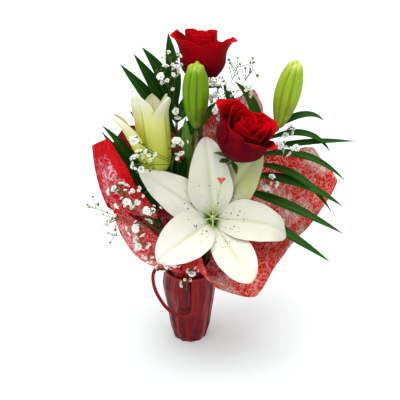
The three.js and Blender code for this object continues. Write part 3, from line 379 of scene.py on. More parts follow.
class Paint:
    """A material under way: each call adds one node and gives back its socket."""

    def __init__(self, name, **sockets):
        self.material = bpy.data.materials.new(name)
        self.material.use_nodes = True
        self.tree = self.material.node_tree
        self.shader = self.tree.nodes["Principled BSDF"]
        for socket, value in sockets.items():
            self.shader.inputs[socket.replace("_", " ")].default_value = value

    def feed(self, socket, value):
        """Links another node's socket, and writes a plain value in."""
        if isinstance(value, bpy.types.NodeSocket):
            self.tree.links.new(value, socket)
        else:
            socket.default_value = value

    def node(self, kind, inputs=(), **settings):
        made = self.tree.nodes.new(kind)
        for name, value in settings.items():
            setattr(made, name, value)
        for name, value in dict(inputs).items():
            self.feed(made.inputs[name], value)
        return made

    def place(self, scale=(1, 1, 1), source="Object", turn=(0, 0, 0)):
        where = self.node("ShaderNodeTexCoord").outputs[source]
        values = {"Vector": where, "Scale": scale, "Rotation": turn}
        return self.node("ShaderNodeMapping", values).outputs["Vector"]

    def number(self, name):
        return self.node("ShaderNodeAttribute", attribute_name=name).outputs["Fac"]

    def uv(self):
        where = self.node("ShaderNodeTexCoord").outputs["UV"]
        return self.node("ShaderNodeSeparateXYZ", {"Vector": where}).outputs[:2]

    def noise(self, where, scale, detail=3.0, rough=0.55, warp=0.0):
        values = {"Vector": where, "Scale": scale, "Detail": detail, "Roughness": rough, "Distortion": warp}
        return self.node("ShaderNodeTexNoise", values).outputs["Fac"]

    def cells(self, where, scale, feature="F1"):
        values = {"Vector": where, "Scale": scale}
        return self.node("ShaderNodeTexVoronoi", values, feature=feature).outputs["Distance"]

    def maths(self, operation, a, b=0.0):
        made = self.node("ShaderNodeMath", {0: a, 1: b}, operation=operation)
        return made.outputs[0]

    def times(self, a, b, *more):
        product = self.maths("MULTIPLY", a, b)
        return self.times(product, *more) if more else product

    def plus(self, a, b):
        return self.maths("ADD", a, b)

    def off_middle(self, value):
        """How far a value lies from one half."""
        return self.maths("ABSOLUTE", self.maths("SUBTRACT", value, 0.5))

    def step(self, value, low, high, start=0.0, end=1.0):
        values = {"Value": value, "From Min": low, "From Max": high, "To Min": start, "To Max": end}
        return self.node("ShaderNodeMapRange", values, interpolation_type="SMOOTHSTEP").outputs["Result"]

    def ramp(self, value, *stops):
        made = self.node("ShaderNodeValToRGB", {"Fac": value})
        elements = made.color_ramp.elements
        while len(elements) < len(stops):
            elements.new(0.5)
        for element, (place, colour) in zip(elements, stops):
            element.position = place
            element.color = colour
        return made.outputs["Color"]

    def blend(self, share, a, b):
        made = self.node("ShaderNodeMix", data_type="RGBA")
        for name, value in (("Factor_Float", share), ("A_Color", a), ("B_Color", b)):
            self.feed(next(s for s in made.inputs if s.identifier == name), value)
        return next(s for s in made.outputs if s.identifier == "Result_Color")

    def bump(self, height, distance, strength=1.0):
        values = {"Height": height, "Distance": distance, "Strength": strength}
        return self.node("ShaderNodeBump", values).outputs["Normal"]

    def done(self, colour, normal=None, rough=None, alpha=None):
        """Links what is given to the shader, and gives back the material."""
        wanted = {"Base Color": colour, "Normal": normal, "Roughness": rough, "Alpha": alpha}
        for name, socket in wanted.items():
            if socket is not None:
                self.tree.links.new(socket, self.shader.inputs[name])
        return self.material


def floor_paint():
    """Matt white paper, with a very slight unevenness."""
    p = Paint("floor_paper", Roughness=0.9, Specular_IOR_Level=0.1, Emission_Strength=0.15)
    p.shader.inputs["Emission Color"].default_value = (1, 1, 1, 1)
    cloud = p.noise(p.place(), 2.0)
    return p.done(p.ramp(cloud, (0.3, (0.78, 0.86, 0.86, 1)), (0.7, (0.81, 0.89, 0.89, 1))))


def web_paint():
    """Red fibre web: long hair-thin pale strands that wind over a crimson ground, dense in
    patches; where it is thin it is orange-red and its patches whitish, and where it lies double
    it is an even, brighter red. Its sharp crease ridges are a little paler pink, a painted highlight."""
    p = Paint("fibre_web", Roughness=0.6, Specular_IOR_Level=0.1)
    where = p.place()
    double, thin = p.number("double"), p.number("thin")
    single = p.step(double, 0.1, 0.7, 1.0, 0.1)
    cloud = p.plus(p.noise(where, 22, 2, 0.5), p.times(thin, 0.05))
    patch = p.times(p.step(cloud, 0.5, 0.66), single)
    fibre = 0.0
    for turn, size in (((0.3, 0.5, 0.2), 60), ((1.1, 0.2, 0.8), 85), ((0.7, 1.3, 0.1), 120)):
        wander = p.noise(p.place((1, 1, 0.7), turn=turn), size, 1, 0.5, 1.6)
        off = p.off_middle(wander)
        fibre = p.maths("MAXIMUM", fibre, p.step(off, 0.006, 0.028, 1.0, 0.0))
    edges = p.cells(p.place((1, 1, 1.5), turn=(0.2, 0.1, 0.9)), 95, "DISTANCE_TO_EDGE")
    net = p.times(p.step(edges, 0.01, 0.05, 1, 0), p.step(thin, 0, 1, 0.7, 0.2))
    fibre = p.maths("MAXIMUM", fibre, net)
    ground = p.blend(p.noise(where, 55, 3), tint(158, 0, 26), tint(214, 8, 34))
    opened = p.blend(p.times(thin, 0.9), ground, tint(238, 40, 30))
    folded = p.blend(double, opened, tint(200, 0, 16))
    milky = p.times(patch, p.step(thin, 0, 1, 0.06, 0.5))
    body = p.blend(milky, folded, tint(255, 214, 202))
    strand = p.blend(thin, tint(250, 196, 206), tint(255, 238, 228))
    lit = p.plus(p.times(patch, 0.5), p.step(thin, 0, 1, 0.32, 0.5))
    colour = p.blend(p.times(fibre, p.times(lit, single)), body, strand)
    gap = p.times(p.times(patch, thin), p.maths("SUBTRACT", 1.0, fibre))
    return p.done(
        # sharp crease ridges a little paler pink: a painted highlight
        p.blend(p.times(p.number("fold"), 0.12), colour, tint(250, 140, 140)),
        p.bump(fibre, 0.0005, 0.6),
        p.step(fibre, 0, 1, 0.7, 0.5),
        p.step(gap, 0, 1, 1.0, 0.82),
    )


def film_paint():
    """Dark red satin film: bands of doubled film with crisp edges, long soft streaks of painted
    sheen and shade down the folds, a painted pink highlight, and small painted glints on creases."""
    p = Paint("foot_film", Roughness=0.28, Specular_IOR_Level=0.28)
    layers = p.number("layers")
    # lengthwise streaks down the folds: painted sheen and shade of the satin
    streaks = p.noise(p.place((95, 95, 6)), 1.0, 2, 0.5, 0.2)
    small = p.noise(p.place((60, 60, 34)), 1.0, 3, 0.5, 0.6)
    tone = p.plus(p.times(layers, 0.5), p.times(streaks, 0.55))
    colour = p.ramp(
        tone,
        (0.24, tint(84, 0, 12)),
        (0.54, tint(120, 0, 18)),
        (0.76, tint(158, 4, 28)),
        # the palest, pink stop is a painted highlight
        (0.92, tint(214, 44, 66)),
    )
    # small pink glints on the creases: painted highlights
    crease_glints = p.blend(p.step(small, 0.6, 0.8, 0, 0.3), colour, tint(214, 40, 62))
    return p.done(crease_glints, p.bump(small, 0.0012, 0.35), p.step(small, 0.3, 0.7, 0.22, 0.36))


def ribbon_paint():
    """Red satin ribbon: fine threads along its length and slightly darker selvedges."""
    p = Paint("ribbon_satin", Roughness=0.35, Specular_IOR_Level=0.3)
    v = p.uv()[1]
    threads = p.noise(p.place((2, 90, 1), "UV"), 1.0, 2)
    edge = p.step(p.off_middle(v), 0.36, 0.46)
    colour = p.blend(threads, tint(122, 2, 14), tint(178, 8, 24))
    return p.done(p.blend(edge, colour, tint(96, 2, 12)), p.bump(threads, 0.0002, 0.6))


def tumbler_paint():
    """Thin clear plastic, slightly milky, with faint moulding streaks."""
    p = Paint("tumbler_plastic", Roughness=0.18, IOR=1.45)
    streaks = p.noise(p.place((40, 40, 400)), 1.0, 2)
    colour = p.ramp(streaks, (0.35, tint(196, 202, 202)), (0.65, tint(220, 226, 226)))
    return p.done(colour, p.bump(streaks, 0.0003, 0.4), p.step(streaks, 0.3, 0.7, 0.14, 0.26))


def foam_paint():
    """Wet green foam: fine open cells whose pits are darkened as painted shade, and darker where the water
    stands.
    """
    p = Paint("wet_foam", Roughness=0.9, Specular_IOR_Level=0.3)
    cells = p.cells(p.place(), 900)
    cloud = p.noise(p.place(), 60, 3)
    colour = p.blend(cloud, tint(38, 74, 46), tint(70, 116, 68))
    # the pits of the cells darkened: painted shade
    pitted = p.blend(p.step(cells, 0.25, 0.6, 0.55, 0.0), colour, tint(22, 46, 30))
    return p.done(pitted, p.bump(cells, 0.0008), p.step(cloud, 0.35, 0.65, 0.95, 0.6))


def tepal_paint():
    """White lily tepal: green at the throat and faintly along the midrib, fine veins that run
    its length, dark specks low on the inner face, and a greenish tinge in patches, from the middle outwards,
    on the tepals given one."""
    p = Paint("lily_tepal", Roughness=0.5, Specular_IOR_Level=0.25, Subsurface_Weight=0.12)
    p.shader.inputs["Subsurface Scale"].default_value = 0.004
    p.shader.inputs["Subsurface Radius"].default_value = (1.0, 0.9, 0.6)
    u, v = p.uv()
    middle = p.off_middle(v)
    cloud = p.noise(p.place(), 45, 2)
    veins = p.noise(p.place((1.2, 46, 1), "UV"), 1.0, 2, 0.5, 0.2)
    body = p.blend(cloud, tint(220, 218, 204), tint(234, 232, 222))
    green = p.number("green")
    veined = p.blend(p.step(veins, 0.5, 0.75, 0, 0.3), body, tint(202, 206, 180))
    leafy = p.blend(p.times(green, p.step(cloud, 0.3, 0.7, 0.5, 0.9)), veined, tint(196, 205, 120))
    rib = p.times(p.step(middle, 0.0, 0.07, 1, 0), p.step(u, 0.6, 0.95, 0.4, 0))
    ribbed = p.blend(rib, leafy, tint(180, 194, 130))
    throat = p.blend(p.step(u, 0.04, 0.19, 1, 0), ribbed, tint(120, 154, 40))
    spots = p.cells(p.place(), 260)
    low = p.times(p.step(u, 0.14, 0.2), p.step(u, 0.4, 0.52, 1, 0))
    near = p.times(low, p.step(middle, 0.2, 0.42, 1, 0))
    dots = p.times(p.step(spots, 0.19, 0.26, 1, 0), p.times(near, p.number("side")))
    sparse = p.times(dots, p.step(p.noise(p.place(), 170, 0), 0.44, 0.5))
    colour = p.blend(sparse, throat, tint(64, 38, 36))
    return p.done(colour, p.bump(p.plus(veins, p.times(rib, -2.0)), 0.0005, 0.6))


def stalk_paint(name, low, high, rough=0.5, streak=500):
    """Plant stalk: lengthwise streaks between two greens, and a fine bump."""
    p = Paint(name, Roughness=rough, Subsurface_Weight=0.05, Subsurface_Scale=0.002)
    streaks = p.noise(p.place((streak, streak, streak * 0.08)), 1.0, 2)
    cloud = p.noise(p.place(), 70, 3)
    colour = p.blend(p.step(streaks, 0.35, 0.65), low, high)
    return p.done(p.blend(p.step(cloud, 0.45, 0.75, 0, 0.5), colour, low), p.bump(streaks, 0.0002, 0.5))


def stigma_paint():
    """Orange-red stigma, moist and finely grained."""
    p = Paint("stigma", Roughness=0.35, Coat_Weight=0.3)
    grains = p.cells(p.place(), 1500)
    colour = p.blend(grains, tint(176, 40, 26), tint(226, 110, 84))
    return p.done(colour, p.bump(grains, 0.0003))


def half_tepal_paint():
    """Half-open tepal: yellow-green with green veins, creamy tips and a green midrib."""
    p = Paint("half_open_tepal", Roughness=0.42, Subsurface_Weight=0.12, Subsurface_Scale=0.004)
    u, v = p.uv()
    middle = p.off_middle(v)
    veins = p.noise(p.place((1.5, 34, 1), "UV"), 1.0, 2, 0.5, 0.3)
    body = p.ramp(
        u,
        (0.0, tint(146, 172, 40)),
        (0.3, tint(196, 200, 66)),
        (0.62, tint(222, 220, 122)),
        (0.88, tint(240, 238, 212)),
    )
    veined = p.blend(p.step(veins, 0.5, 0.72, 0, 0.25), body, tint(176, 188, 84))
    rib = p.step(middle, 0.01, 0.06, 0.75, 0)
    fading = p.times(rib, p.step(u, 0.6, 1.0, 0.85, 0.15))
    colour = p.blend(fading, veined, tint(150, 174, 60))
    return p.done(colour, p.bump(p.maths("SUBTRACT", veins, fading), 0.0006, 0.7))


def bud_paint(name, body, shade, edge, brown):
    """Closed bud: green lobes, seams darkened as painted shade, paler rims, fine veins, and a brownish tone
    low on one side that is also painted shade.
    """
    p = Paint(name, Roughness=0.45, Specular_IOR_Level=0.2, Subsurface_Weight=0.05, Subsurface_Scale=0.003)
    u = p.uv()[0]
    veins = p.noise(p.place((3, 60, 1), "UV"), 1.0, 2)
    cloud = p.noise(p.place(), 60, 2)
    green = p.blend(p.step(veins, 0.4, 0.7, 0, 0.3), body, shade)
    rim = p.blend(p.times(p.number("rim"), 0.3), green, edge)
    # the seams darkened: painted shade in their grooves
    groove = p.blend(p.times(p.number("groove"), 0.5), rim, shade)
    # a brownish tone low on the right-front side, which also darkens it there as painted shade
    cast = p.blend(p.times(p.step(cloud, 0.35, 0.6), p.number("cast")), groove, brown)
    colour = p.blend(p.step(u, 0.86, 1.0, 0, 0.6), cast, edge)
    return p.done(colour, p.bump(veins, 0.0004, 0.5))


def rose_paint():
    """Rose petal: velvet red, darkened to nearly black towards its base and on the outside of the
    outer petals as painted shade, brighter at the rim, with veins that fan out."""
    p = Paint("rose_petal", Roughness=0.7, Specular_IOR_Level=0.08)
    u = p.uv()[0]
    veins = p.noise(p.place((1.5, 26, 1), "UV"), 1.0, 3, 0.6, 0.4)
    cloud = p.noise(p.place(), 80, 3)
    # nearly black at the base to bright at the rim: painted shade deep in the bloom
    body = p.ramp(
        u,
        (0.0, tint(70, 0, 14)),
        (0.4, tint(132, 0, 18)),
        (0.78, tint(190, 0, 24)),
        (1.0, tint(212, 6, 32)),
    )
    # the outside of the outer petals darkened: painted shade
    shade = p.times(p.number("dark"), p.step(p.number("side"), 0.3, 0.7, 1.0, 0.1))
    dark = p.blend(p.times(shade, p.step(cloud, 0.3, 0.7, 0.7, 1.0)), body, tint(84, 0, 22))
    colour = p.blend(p.step(veins, 0.45, 0.75, 0, 0.4), dark, tint(120, 2, 14))
    return p.done(colour, p.bump(p.plus(veins, cloud), 0.0005, 0.5))


def leaf_paint(name, low, high, rib, gloss=0.42):
    """Leaf blade: parallel veins, a paler midrib, cloudy greens and a paler underside."""
    p = Paint(name, Roughness=gloss, Specular_IOR_Level=0.16)
    middle = p.off_middle(p.uv()[1])
    veins = p.noise(p.place((1.2, 38, 1), "UV"), 1.0, 2, 0.5, 0.1)
    cloud = p.noise(p.place(), 50, 3)
    green = p.blend(cloud, low, high)
    veined = p.blend(p.step(veins, 0.42, 0.7, 0, 0.5), green, low)
    under = p.blend(p.step(p.number("side"), 0.4, 0.6, 0.25, 0.0), veined, rib)
    colour = p.blend(p.step(middle, 0.02, 0.07, 0.6, 0), under, rib)
    return p.done(colour, p.bump(veins, 0.0005, 0.8), p.step(cloud, 0.3, 0.7, gloss - 0.08, gloss + 0.1))


def floret_paint():
    """Baby's breath: crisp white petals with a greenish eye, green sepals, grey-green twigs."""
    p = Paint("babys_breath", Roughness=0.7, Subsurface_Weight=0.1, Subsurface_Scale=0.002)
    p.shader.inputs["Specular IOR Level"].default_value = 0.2
    kind = p.number("kind")  # 0 twig, 0.5 green cup or closed bud, 1 petal
    cloud = p.noise(p.place(), 500, 2)
    twig = p.blend(cloud, tint(62, 74, 36), tint(112, 122, 70))
    cup = p.blend(cloud, tint(56, 68, 30), tint(120, 134, 70))
    petal = p.blend(p.step(cloud, 0.3, 0.6), tint(238, 238, 226), tint(254, 254, 252))
    eyed = p.blend(p.number("eye"), petal, tint(186, 200, 118))
    green = p.blend(p.step(kind, 0.2, 0.3), twig, cup)
    return p.done(p.blend(p.step(kind, 0.7, 0.8), green, eyed), p.bump(cloud, 0.0002, 0.5))


# ------------------------------------------------------------------ foot, ribbon and collar

FOOT_TOP = 103
FOOT_WIDEST = 78
FOOT_PROFILE = [(20.6, 0), (22.6, 5), (27.0, 40), (32.2, FOOT_WIDEST), (29.6, FOOT_TOP)]
FOOT_PLEATS = 12
PLEAT_DEPTH = 1.5
FILM = 0.35
FOOT_SIDES = 288
FILM_BANDS = ((6, 0.012, 0.4), (8, -0.021, 1.9), (13, 0.034, 4.0))  # count, slant and start


def foot_radius(height, bearing):
    """Radius of the film: the profile, less pleats that each rise slowly and drop back at once,
    less small creases and slanting folds that meet near the bottom."""
    profile = smooth_along([(h, r) for r, h in FOOT_PROFILE], height)[..., 0]
    wander = 0.16 * np.sin(height / 17 + 2.3 * np.sin(3 * bearing))
    turn = bearing / (2 * np.pi) * FOOT_PLEATS + wander * smoothstep(height, 0, 30)
    rise = turn - np.floor(turn)
    narrowing = (height - FOOT_WIDEST) / (FOOT_TOP - FOOT_WIDEST)
    depth = lerp(PLEAT_DEPTH, 0.5, np.clip(narrowing, 0, 1))
    uneven = 0.75 + 0.25 * np.sin(2 * bearing + 1)
    pleat = depth * uneven * smoothstep(rise, 0, 0.66) * (1 - smoothstep(rise, 0.93, 1.0))
    slant = np.abs(((turn * 0.5 + height / 34) % 1) - 0.5) * 2
    low = 1.1 * (1 - smoothstep(height, 4, 26)) * slant * smoothstep(height, 0, 3)
    small = 0.35 * ripple(bearing * 5, height / 9, 3)
    gather = 0.7 * smoothstep(height, 80, 97) * (1 + np.sin(bearing * 31 + 2 * np.sin(5 * bearing)))
    return profile - pleat - low - 0.3 + np.minimum(small, 0.3) - gather * 0.6


def foot_layers(height, bearing):
    """How many of three sets of slanting bands lie over a place on the film, as a share: each
    set is where a sine round the foot, turned by the height, is above zero, with crisp edges."""
    total = 0.0
    for count, slant, start in FILM_BANDS:
        total = total + smoothstep(np.sin(count * bearing + slant * height + start), -0.12, 0.12)
    return total / len(FILM_BANDS)


def make_foot():
    """Film wall: radius by height and bearing up the outside, down the inside, across the
    bottom; the bottom closes on its middle."""
    heights = np.concatenate([np.linspace(0.0, 6, 8), np.linspace(7, FOOT_TOP, 74)])
    turn = np.linspace(0, 2 * np.pi, FOOT_SIDES, endpoint=False)
    h, b = np.meshgrid(heights, turn, indexing="ij")
    r = foot_radius(h, b)
    edge = h + smoothstep(h, 90, FOOT_TOP) * 1.2 * (np.sin(b * 9 + 1) - 1)
    inward = np.clip(h / 3, 0, 1)
    outer = np.stack([r * np.cos(b), r * np.sin(b), edge], -1)
    inside = np.maximum(edge, 0) + FILM * (1 - inward)
    inner = np.stack([(r - FILM) * np.cos(b), (r - FILM) * np.sin(b), inside], -1)[::-1]
    h, b = np.concatenate([h, h[::-1]]), np.concatenate([b, b])
    uv = np.stack([h / FOOT_TOP, b / (2 * np.pi)], -1)
    poles = [[0, 0, 0], [0, 0, FILM]]
    shape = closed_rings(np.concatenate([outer, inner]), uv, poles, [[0, 0.5], [0, 0.5]])
    shape["numbers"]["layers"] = np.append(foot_layers(h, b).ravel(), [0.5, 0.5])
    film = piece("foot_film", shape, film_paint(), "foot_wrap")


RIBBON_WIDTH = 4
RIBBON_THICK = 0.5
BAND_Z = 101
BAND_RADIUS = 30.9
RIBBON_TURN = 0.65  # how far the loop's face turns from outwards to the front
RIBBON_LOOP = [
    (-30, -9, 101), (-38, -11, 104), (-42, -13, 97), (-41, -15, 80), (-35, -21, 68), (-24, -28, 56),
    (-10, -32, 50), (2, -33, 54), (4, -34, 70), (4, -33, 88), (4, -30.8, 101),
]


def strip(line, side):
    """A flat ribbon: a line carried sideways by half the width both ways, a little bowed."""
    v = np.linspace(-0.5, 0.5, 7)
    bow = 0.25 * np.cos(np.pi * v)
    face = unit(np.cross(np.gradient(line, axis=0), side))
    surface = line[:, None] + side[:, None] * (v * RIBBON_WIDTH)[:, None] + face[:, None] * bow[:, None]
    uv = np.stack(np.meshgrid(distances(line) / RIBBON_WIDTH, v + 0.5, indexing="ij"), -1)
    return blade(surface, RIBBON_THICK, uv)


def make_ribbon():
    """The band follows the film's neck just outside it, and the long loop hangs from it."""
    turn = np.linspace(0, 2 * np.pi, 145)
    upward = np.tile([0.0, 0, 1], (len(turn), 1))
    ring = BAND_RADIUS * around(turn, np.array([1, 0, 0]), np.array([0, 1, 0])) + BAND_Z * upward
    band = strip(ring, upward)
    paint = ribbon_paint()
    piece("ribbon_band", band, paint, "ribbon")
    line = evenly(chain(RIBBON_LOOP, 400), np.linspace(0, 1, 90))
    outward = unit(lerp(unit(line * [1, 1, 0]), np.array([0.25, -1, 0.35]), RIBBON_TURN))
    side = unit(np.cross(unit(np.gradient(line, axis=0)), outward))
    loop = piece("ribbon_loop", strip(line, side), paint, "ribbon")


NECK_RADIUS = 26
SKIRT_BOTTOM = 91
SKIRT_TOP = 107
SKIRT_SHARE = 0.12  # of the climb
LAYER_STEP = 3
WEB = 0.5
NECK = np.array([NECK_RADIUS, SKIRT_TOP], float)
RIGHT_RIM = [
    (-106, 36, 140), (-90, 38, 139), (-80, 41, 143), (-71, 45, 138), (-62, 56, 110), (-47, 75, 95),
    (-36, 96, 97), (-27, 106, 122), (-16, 126, 158), (-8, 144, 180), (0, 168, 215), (7, 153, 227),
    (13, 145, 238), (24, 119, 228), (33, 103, 232), (40, 105, 276),
]
BACK_RIM = [
    (33, 103, 232), (39, 106, 274), (44, 101, 296), (51, 90, 287), (75, 72, 262),
    (104, 64, 248), (130, 68, 254), (155, 82, 264), (167, 89, 252), (174, 98, 254),
    (180.3, 105, 264), (187.3, 88, 281), (200, 73, 254), (218, 66, 232), (236, 60, 209),
]
LEFT_RIM = [
    (195, 97, 217), (203, 89, 210), (210, 83, 204), (216, 79, 199), (224, 73, 191),
    (242, 57, 164), (248, 45, 148), (252, 39, 141),
]
BACK_LEAVES = 150
BACK_START = [(150, 0.04), (160, 0.3), (170, 0.5), (185, 0.66), (203, 0.7)]
SEAM_OVERLAP = 0.05
SEAM_END = 203
BACK_FREE_EDGE = [(203, 94, 214), (210, 87, 211), (224, 71, 204), (236, 61, 202)]
BACK_BELLY = [
    (-106, 1.2, 0.12), (-84, 1.1, 0.14), (-58, 0.6, 0.25), (130, 0.62, 0.25), (150, 0.72, 0.22),
    (170, 0.95, 0.2), (183, 1, 0.27), (203, 2.3, 0.6),
]
LEFT_BELLY = [(195, 1.12, 0.14), (215, 1.1, 0.14), (240, 0.9, 0.18), (252, 1.2, 0.12)]
FLAP_BELLY = np.array([0.7, 0.45])


def section(start, rim, belly, s):
    """A point (distance, height) on a section: a quadratic curve from start to rim whose
    middle point is given as shares of the reach and of the rise."""
    knee = start + (rim - start) * belly
    s = s[..., None]
    return (1 - s) ** 2 * start + 2 * s * (1 - s) * knee + s * s * rim


def right_section(bearing, s):
    return section(NECK, smooth_along(RIGHT_RIM, bearing), along(BACK_BELLY, bearing), s)


def back_section(bearing, s):
    return section(NECK, smooth_along(BACK_RIM, bearing), along(BACK_BELLY, bearing), s)


def left_section(bearing, s):
    """At first just under the back section, and past the seam a section of its own."""
    share = along(BACK_START, bearing)[..., 0]
    under = back_section(bearing, s * np.minimum(share + SEAM_OVERLAP, 1))
    own = section(NECK, smooth_along(LEFT_RIM, bearing), along(LEFT_BELLY, bearing), s)
    return lerp(under, own, smoothstep(bearing, SEAM_END - 8, SEAM_END + 6)[..., None])


def climb(sections, bearing, v, hem=0.0):
    """Distance and height by bearing and share v of the climb: the skirt stands at the neck's
    radius below, from a hem that may be raised, and the sections rise from it."""
    s = np.clip((v - SKIRT_SHARE) / (1 - SKIRT_SHARE), 0, 1)
    bottom = lerp(SKIRT_BOTTOM, SKIRT_TOP, hem)
    height = lerp(bottom, SKIRT_TOP, np.minimum(v / SKIRT_SHARE, 1))
    stand = np.stack([0 * v + NECK_RADIUS, height], -1)
    return np.where((v <= SKIRT_SHARE)[..., None], stand, sections(bearing, s)), s


def back_profile(bearing, v):
    """The back sheet: from the neck at first, then from the outside of the left sheet, and at
    last from its own free lower edge, the slit."""
    hem = 0.95 * smoothstep(bearing, BACK_LEAVES - 16, BACK_LEAVES - 5)
    rising, s = climb(back_section, bearing, v, hem)
    s_seam = lerp(along(BACK_START, bearing)[..., 0], 1, v)
    seamed = back_section(bearing, s_seam)
    flap = section(along(BACK_FREE_EDGE, bearing), smooth_along(BACK_RIM, bearing), FLAP_BELLY, v)
    at_neck, at_seam = bearing <= BACK_LEAVES, bearing <= SEAM_END
    place = np.where(at_neck[..., None], rising, np.where(at_seam[..., None], seamed, flap))
    return place, np.where(at_neck, s, np.where(at_seam, s_seam, lerp(0.7, 1, v)))


def web_sheet(profile, start, end, layer, rows, columns, seed, double, thin):
    """A sheet of web: the profile's distance and height at each bearing, moved in by its layer,
    with creases that fan out from the neck and small crumples, all growing towards the rim.
    fold is near 1 on the sharp ridges, which the paint lightens as a painted highlight, double
    tells where the web is turned over, and thin where it is open."""
    u, v = grid(rows, columns)
    bearing = lerp(start, end, u)
    place, s = profile(bearing, v)
    crease = 2.2 * s * np.sin(np.radians(bearing) * 13)
    fan = ripple(bearing / 5.5, s * 1.2, seed)
    sharp = 1 - np.abs(fan)
    fine = 1.5 * s * (sharp - 0.55) + 0.7 * np.sqrt(s) * ripple(bearing / 2.2, s * 9, seed + 1)
    wave = 1.4 * smoothstep(s, 0.6, 1.0) * ripple(bearing / 3.1, s, seed + 2)
    radius = place[..., 0] - layer * LAYER_STEP + 0.55 * (fine + wave)
    height = place[..., 1] + layer * LAYER_STEP + crease + 0.55 * fine
    angle = np.radians(bearing)
    surface = np.stack([radius * np.cos(angle), radius * np.sin(angle), height], -1)
    uv = np.stack([bearing / 30, v * 4], -1)
    # the sharp ridges, which the paint lightens as a painted highlight
    ridge = smoothstep(sharp, 0.93, 0.995) * smoothstep(s, 0.15, 0.5)
    return blade(surface, WEB, uv, fold=ridge, double=double(bearing, s), thin=thin(bearing, s))


def right_double(b, s):
    """The front end is half doubled, and so is a narrow hem along the rim of the front half."""
    hem = 0.35 * smoothstep(s, 0.9, 0.94) * (1 - smoothstep(b, -26, -14))
    return np.maximum(hem, 0.5 * (1 - smoothstep(b, -80, -60)))


def back_double(b, s):
    """A narrow strip along the rim at the left, and a little of the back."""
    strip_share = smoothstep(s, 0.9, 0.93) * smoothstep(b, 176, 186)
    return np.maximum(strip_share, 0.3 * smoothstep(b, 60, 90) * (1 - smoothstep(b, 150, 170)))


# name, profile, first and last bearing, layer, rows, columns, seed, double, thin, flat size
WEBS = [
    (
        "right", lambda b, v: climb(right_section, b, v), -106, 38, 1, 200, 72, 5, right_double,
        lambda b, s: smoothstep(s, 0.25, 0.7) * smoothstep(b, -95, -50), (0.24, 0.095),
    ),
    (
        "back", back_profile, 34, 236, 0, 280, 64, 9, back_double,
        lambda b, s: 0.7 * (1 - smoothstep(b, 70, 110)) * smoothstep(s, 0.3, 0.8), (0.32, 0.105),
    ),
    (
        "left", lambda b, v: climb(left_section, b, v), 144, 252, 1, 150, 64, 14,
        lambda b, s: 0.35 * smoothstep(b, 225, 250) + 0 * s, lambda b, s: 0.25 + 0 * b, (0.15, 0.085),
    ),
]


def make_collar():
    """The right wing, the back wing whose end folds over the left side, and the left wing."""
    paint = web_paint()
    for name, *form, flat in WEBS:
        web = piece("web_" + name, web_sheet(*form), paint, "collar_" + name)


# ------------------------------------------------------------------ stems and leaves

ROD_STEPS = 7  # rings of a CAD twig, less one
LEAF_HEEL = 0.1  # share of its width with which a leaf starts
LEAF_WIDEST = 0.42  # share of its length
LEAF_NARROWEST = 0.7
LILY_STEM = [(-3, -5, 8), (-2, -4, 100), (0, 1, 180), (1, 2, 246)]
PEDICELS = [
    [(0, 1, 226), (4, -2, 262), (8, -5, 287.4)],
    [(0, 1, 200), (-16, -8, 214), (-32.8, -17.2, 233.6)],
    [(0, -1, 150), (14, -18, 166), (25.8, -31.5, 183.4)],
    [(2, 4, 196), (46, 20, 226), (96.7, 9.9, 279.2)],
]
LILY_LEAVES = [
    ((1, 1, 242), (-4, -10, 276), (-3, -14, 306), 11, (0, -1, 0.3)),
    ((-1, 0, 190), (-26, 10, 206), (-52, 4, 236), 13, (0, -0.4, 1)),
    ((0, -3, 130), (-14, -20, 146), (-27, -34, 156), 12, (0, 0, 1)),
    ((1, 0, 168), (20, -10, 190), (38, -24, 204), 12, (0, 0, 1)),
]


def leaf(start, via, end, width, face, channel=0.18, rows=22, columns=8, thick=0.5, tone=0.0):
    """A leaf blade on a quadratic curve: it widens by a quarter sine to its widest place, then
    tapers by a cosine to the tip; its two halves rise from the midrib as a soft channel, with
    shallow pleats and a wave that grows towards the edges."""
    u, v = grid(rows, columns)
    a, b, c = (np.array(p, float) for p in (start, via, end))
    t = u[..., None]
    centre = (1 - t) ** 2 * a + 2 * t * (1 - t) * b + t * t * c
    tangent = unit((1 - t) * (b - a) + t * (c - b))
    side = unit(np.cross(tangent, np.array(face, float)))
    up = unit(np.cross(side, tangent))
    rising = lerp(LEAF_HEEL, 1, np.sin(np.minimum(u / LEAF_WIDEST, 1) * np.pi / 2))
    falling = np.cos(np.maximum((u - LEAF_WIDEST) / (1 - LEAF_WIDEST), 0) * np.pi / 2) ** 0.85
    reach = (v - 0.5) * np.maximum(width * np.where(u < LEAF_WIDEST, rising, falling), LEAF_NARROWEST)
    off = (2 * v - 1) ** 2
    wave = (0.16 * np.cos(8 * np.pi * v) + 0.35 * np.sin(u * 9 + tone * 6) * off) * np.sin(np.pi * u)
    lift = 2 * channel * np.abs(reach) + wave
    surface = centre + side * reach[..., None] + up * lift[..., None]
    return blade(surface, thick * (1 - 0.35 * off), np.stack([u, v], -1), tone=tone)


def make_lily_stem():
    """The main stalk, its pedicels, each a little swollen where it leaves and where it meets
    its flower, and the narrow leaves."""
    steps = np.linspace(0, 1, 60)
    stalk = tube(evenly(chain(LILY_STEM, 200), steps), 3.4 - 0.5 * steps, 14)
    arms = []
    for points in PEDICELS:
        share = np.linspace(0, 1, 26)
        swollen = 1.9 + 0.5 * np.exp(-(((share - 1) / 0.1) ** 2)) + 0.4 * np.exp(-((share / 0.1) ** 2))
        arms.append(tube(chain(points, 26), swollen, 12))
    green = stalk_paint("lily_stalk", tint(60, 104, 34), tint(104, 146, 58), 0.42)
    piece("lily_stalks", together([stalk, *arms]), green, "lily_stem")
    blades = [leaf(a, b, c, w, f, tone=k / 4) for k, (a, b, c, w, f) in enumerate(LILY_LEAVES)]
    paint = leaf_paint("lily_leaf", tint(46, 104, 22), tint(96, 164, 50), tint(150, 190, 96))
    piece("lily_leaves", together(blades), paint, "lily_stem")


# ------------------------------------------------------------------ lilies

LILY_BASE = (26, -35, 188)
LILY_AXIS = (0, -0.695, 0.72)
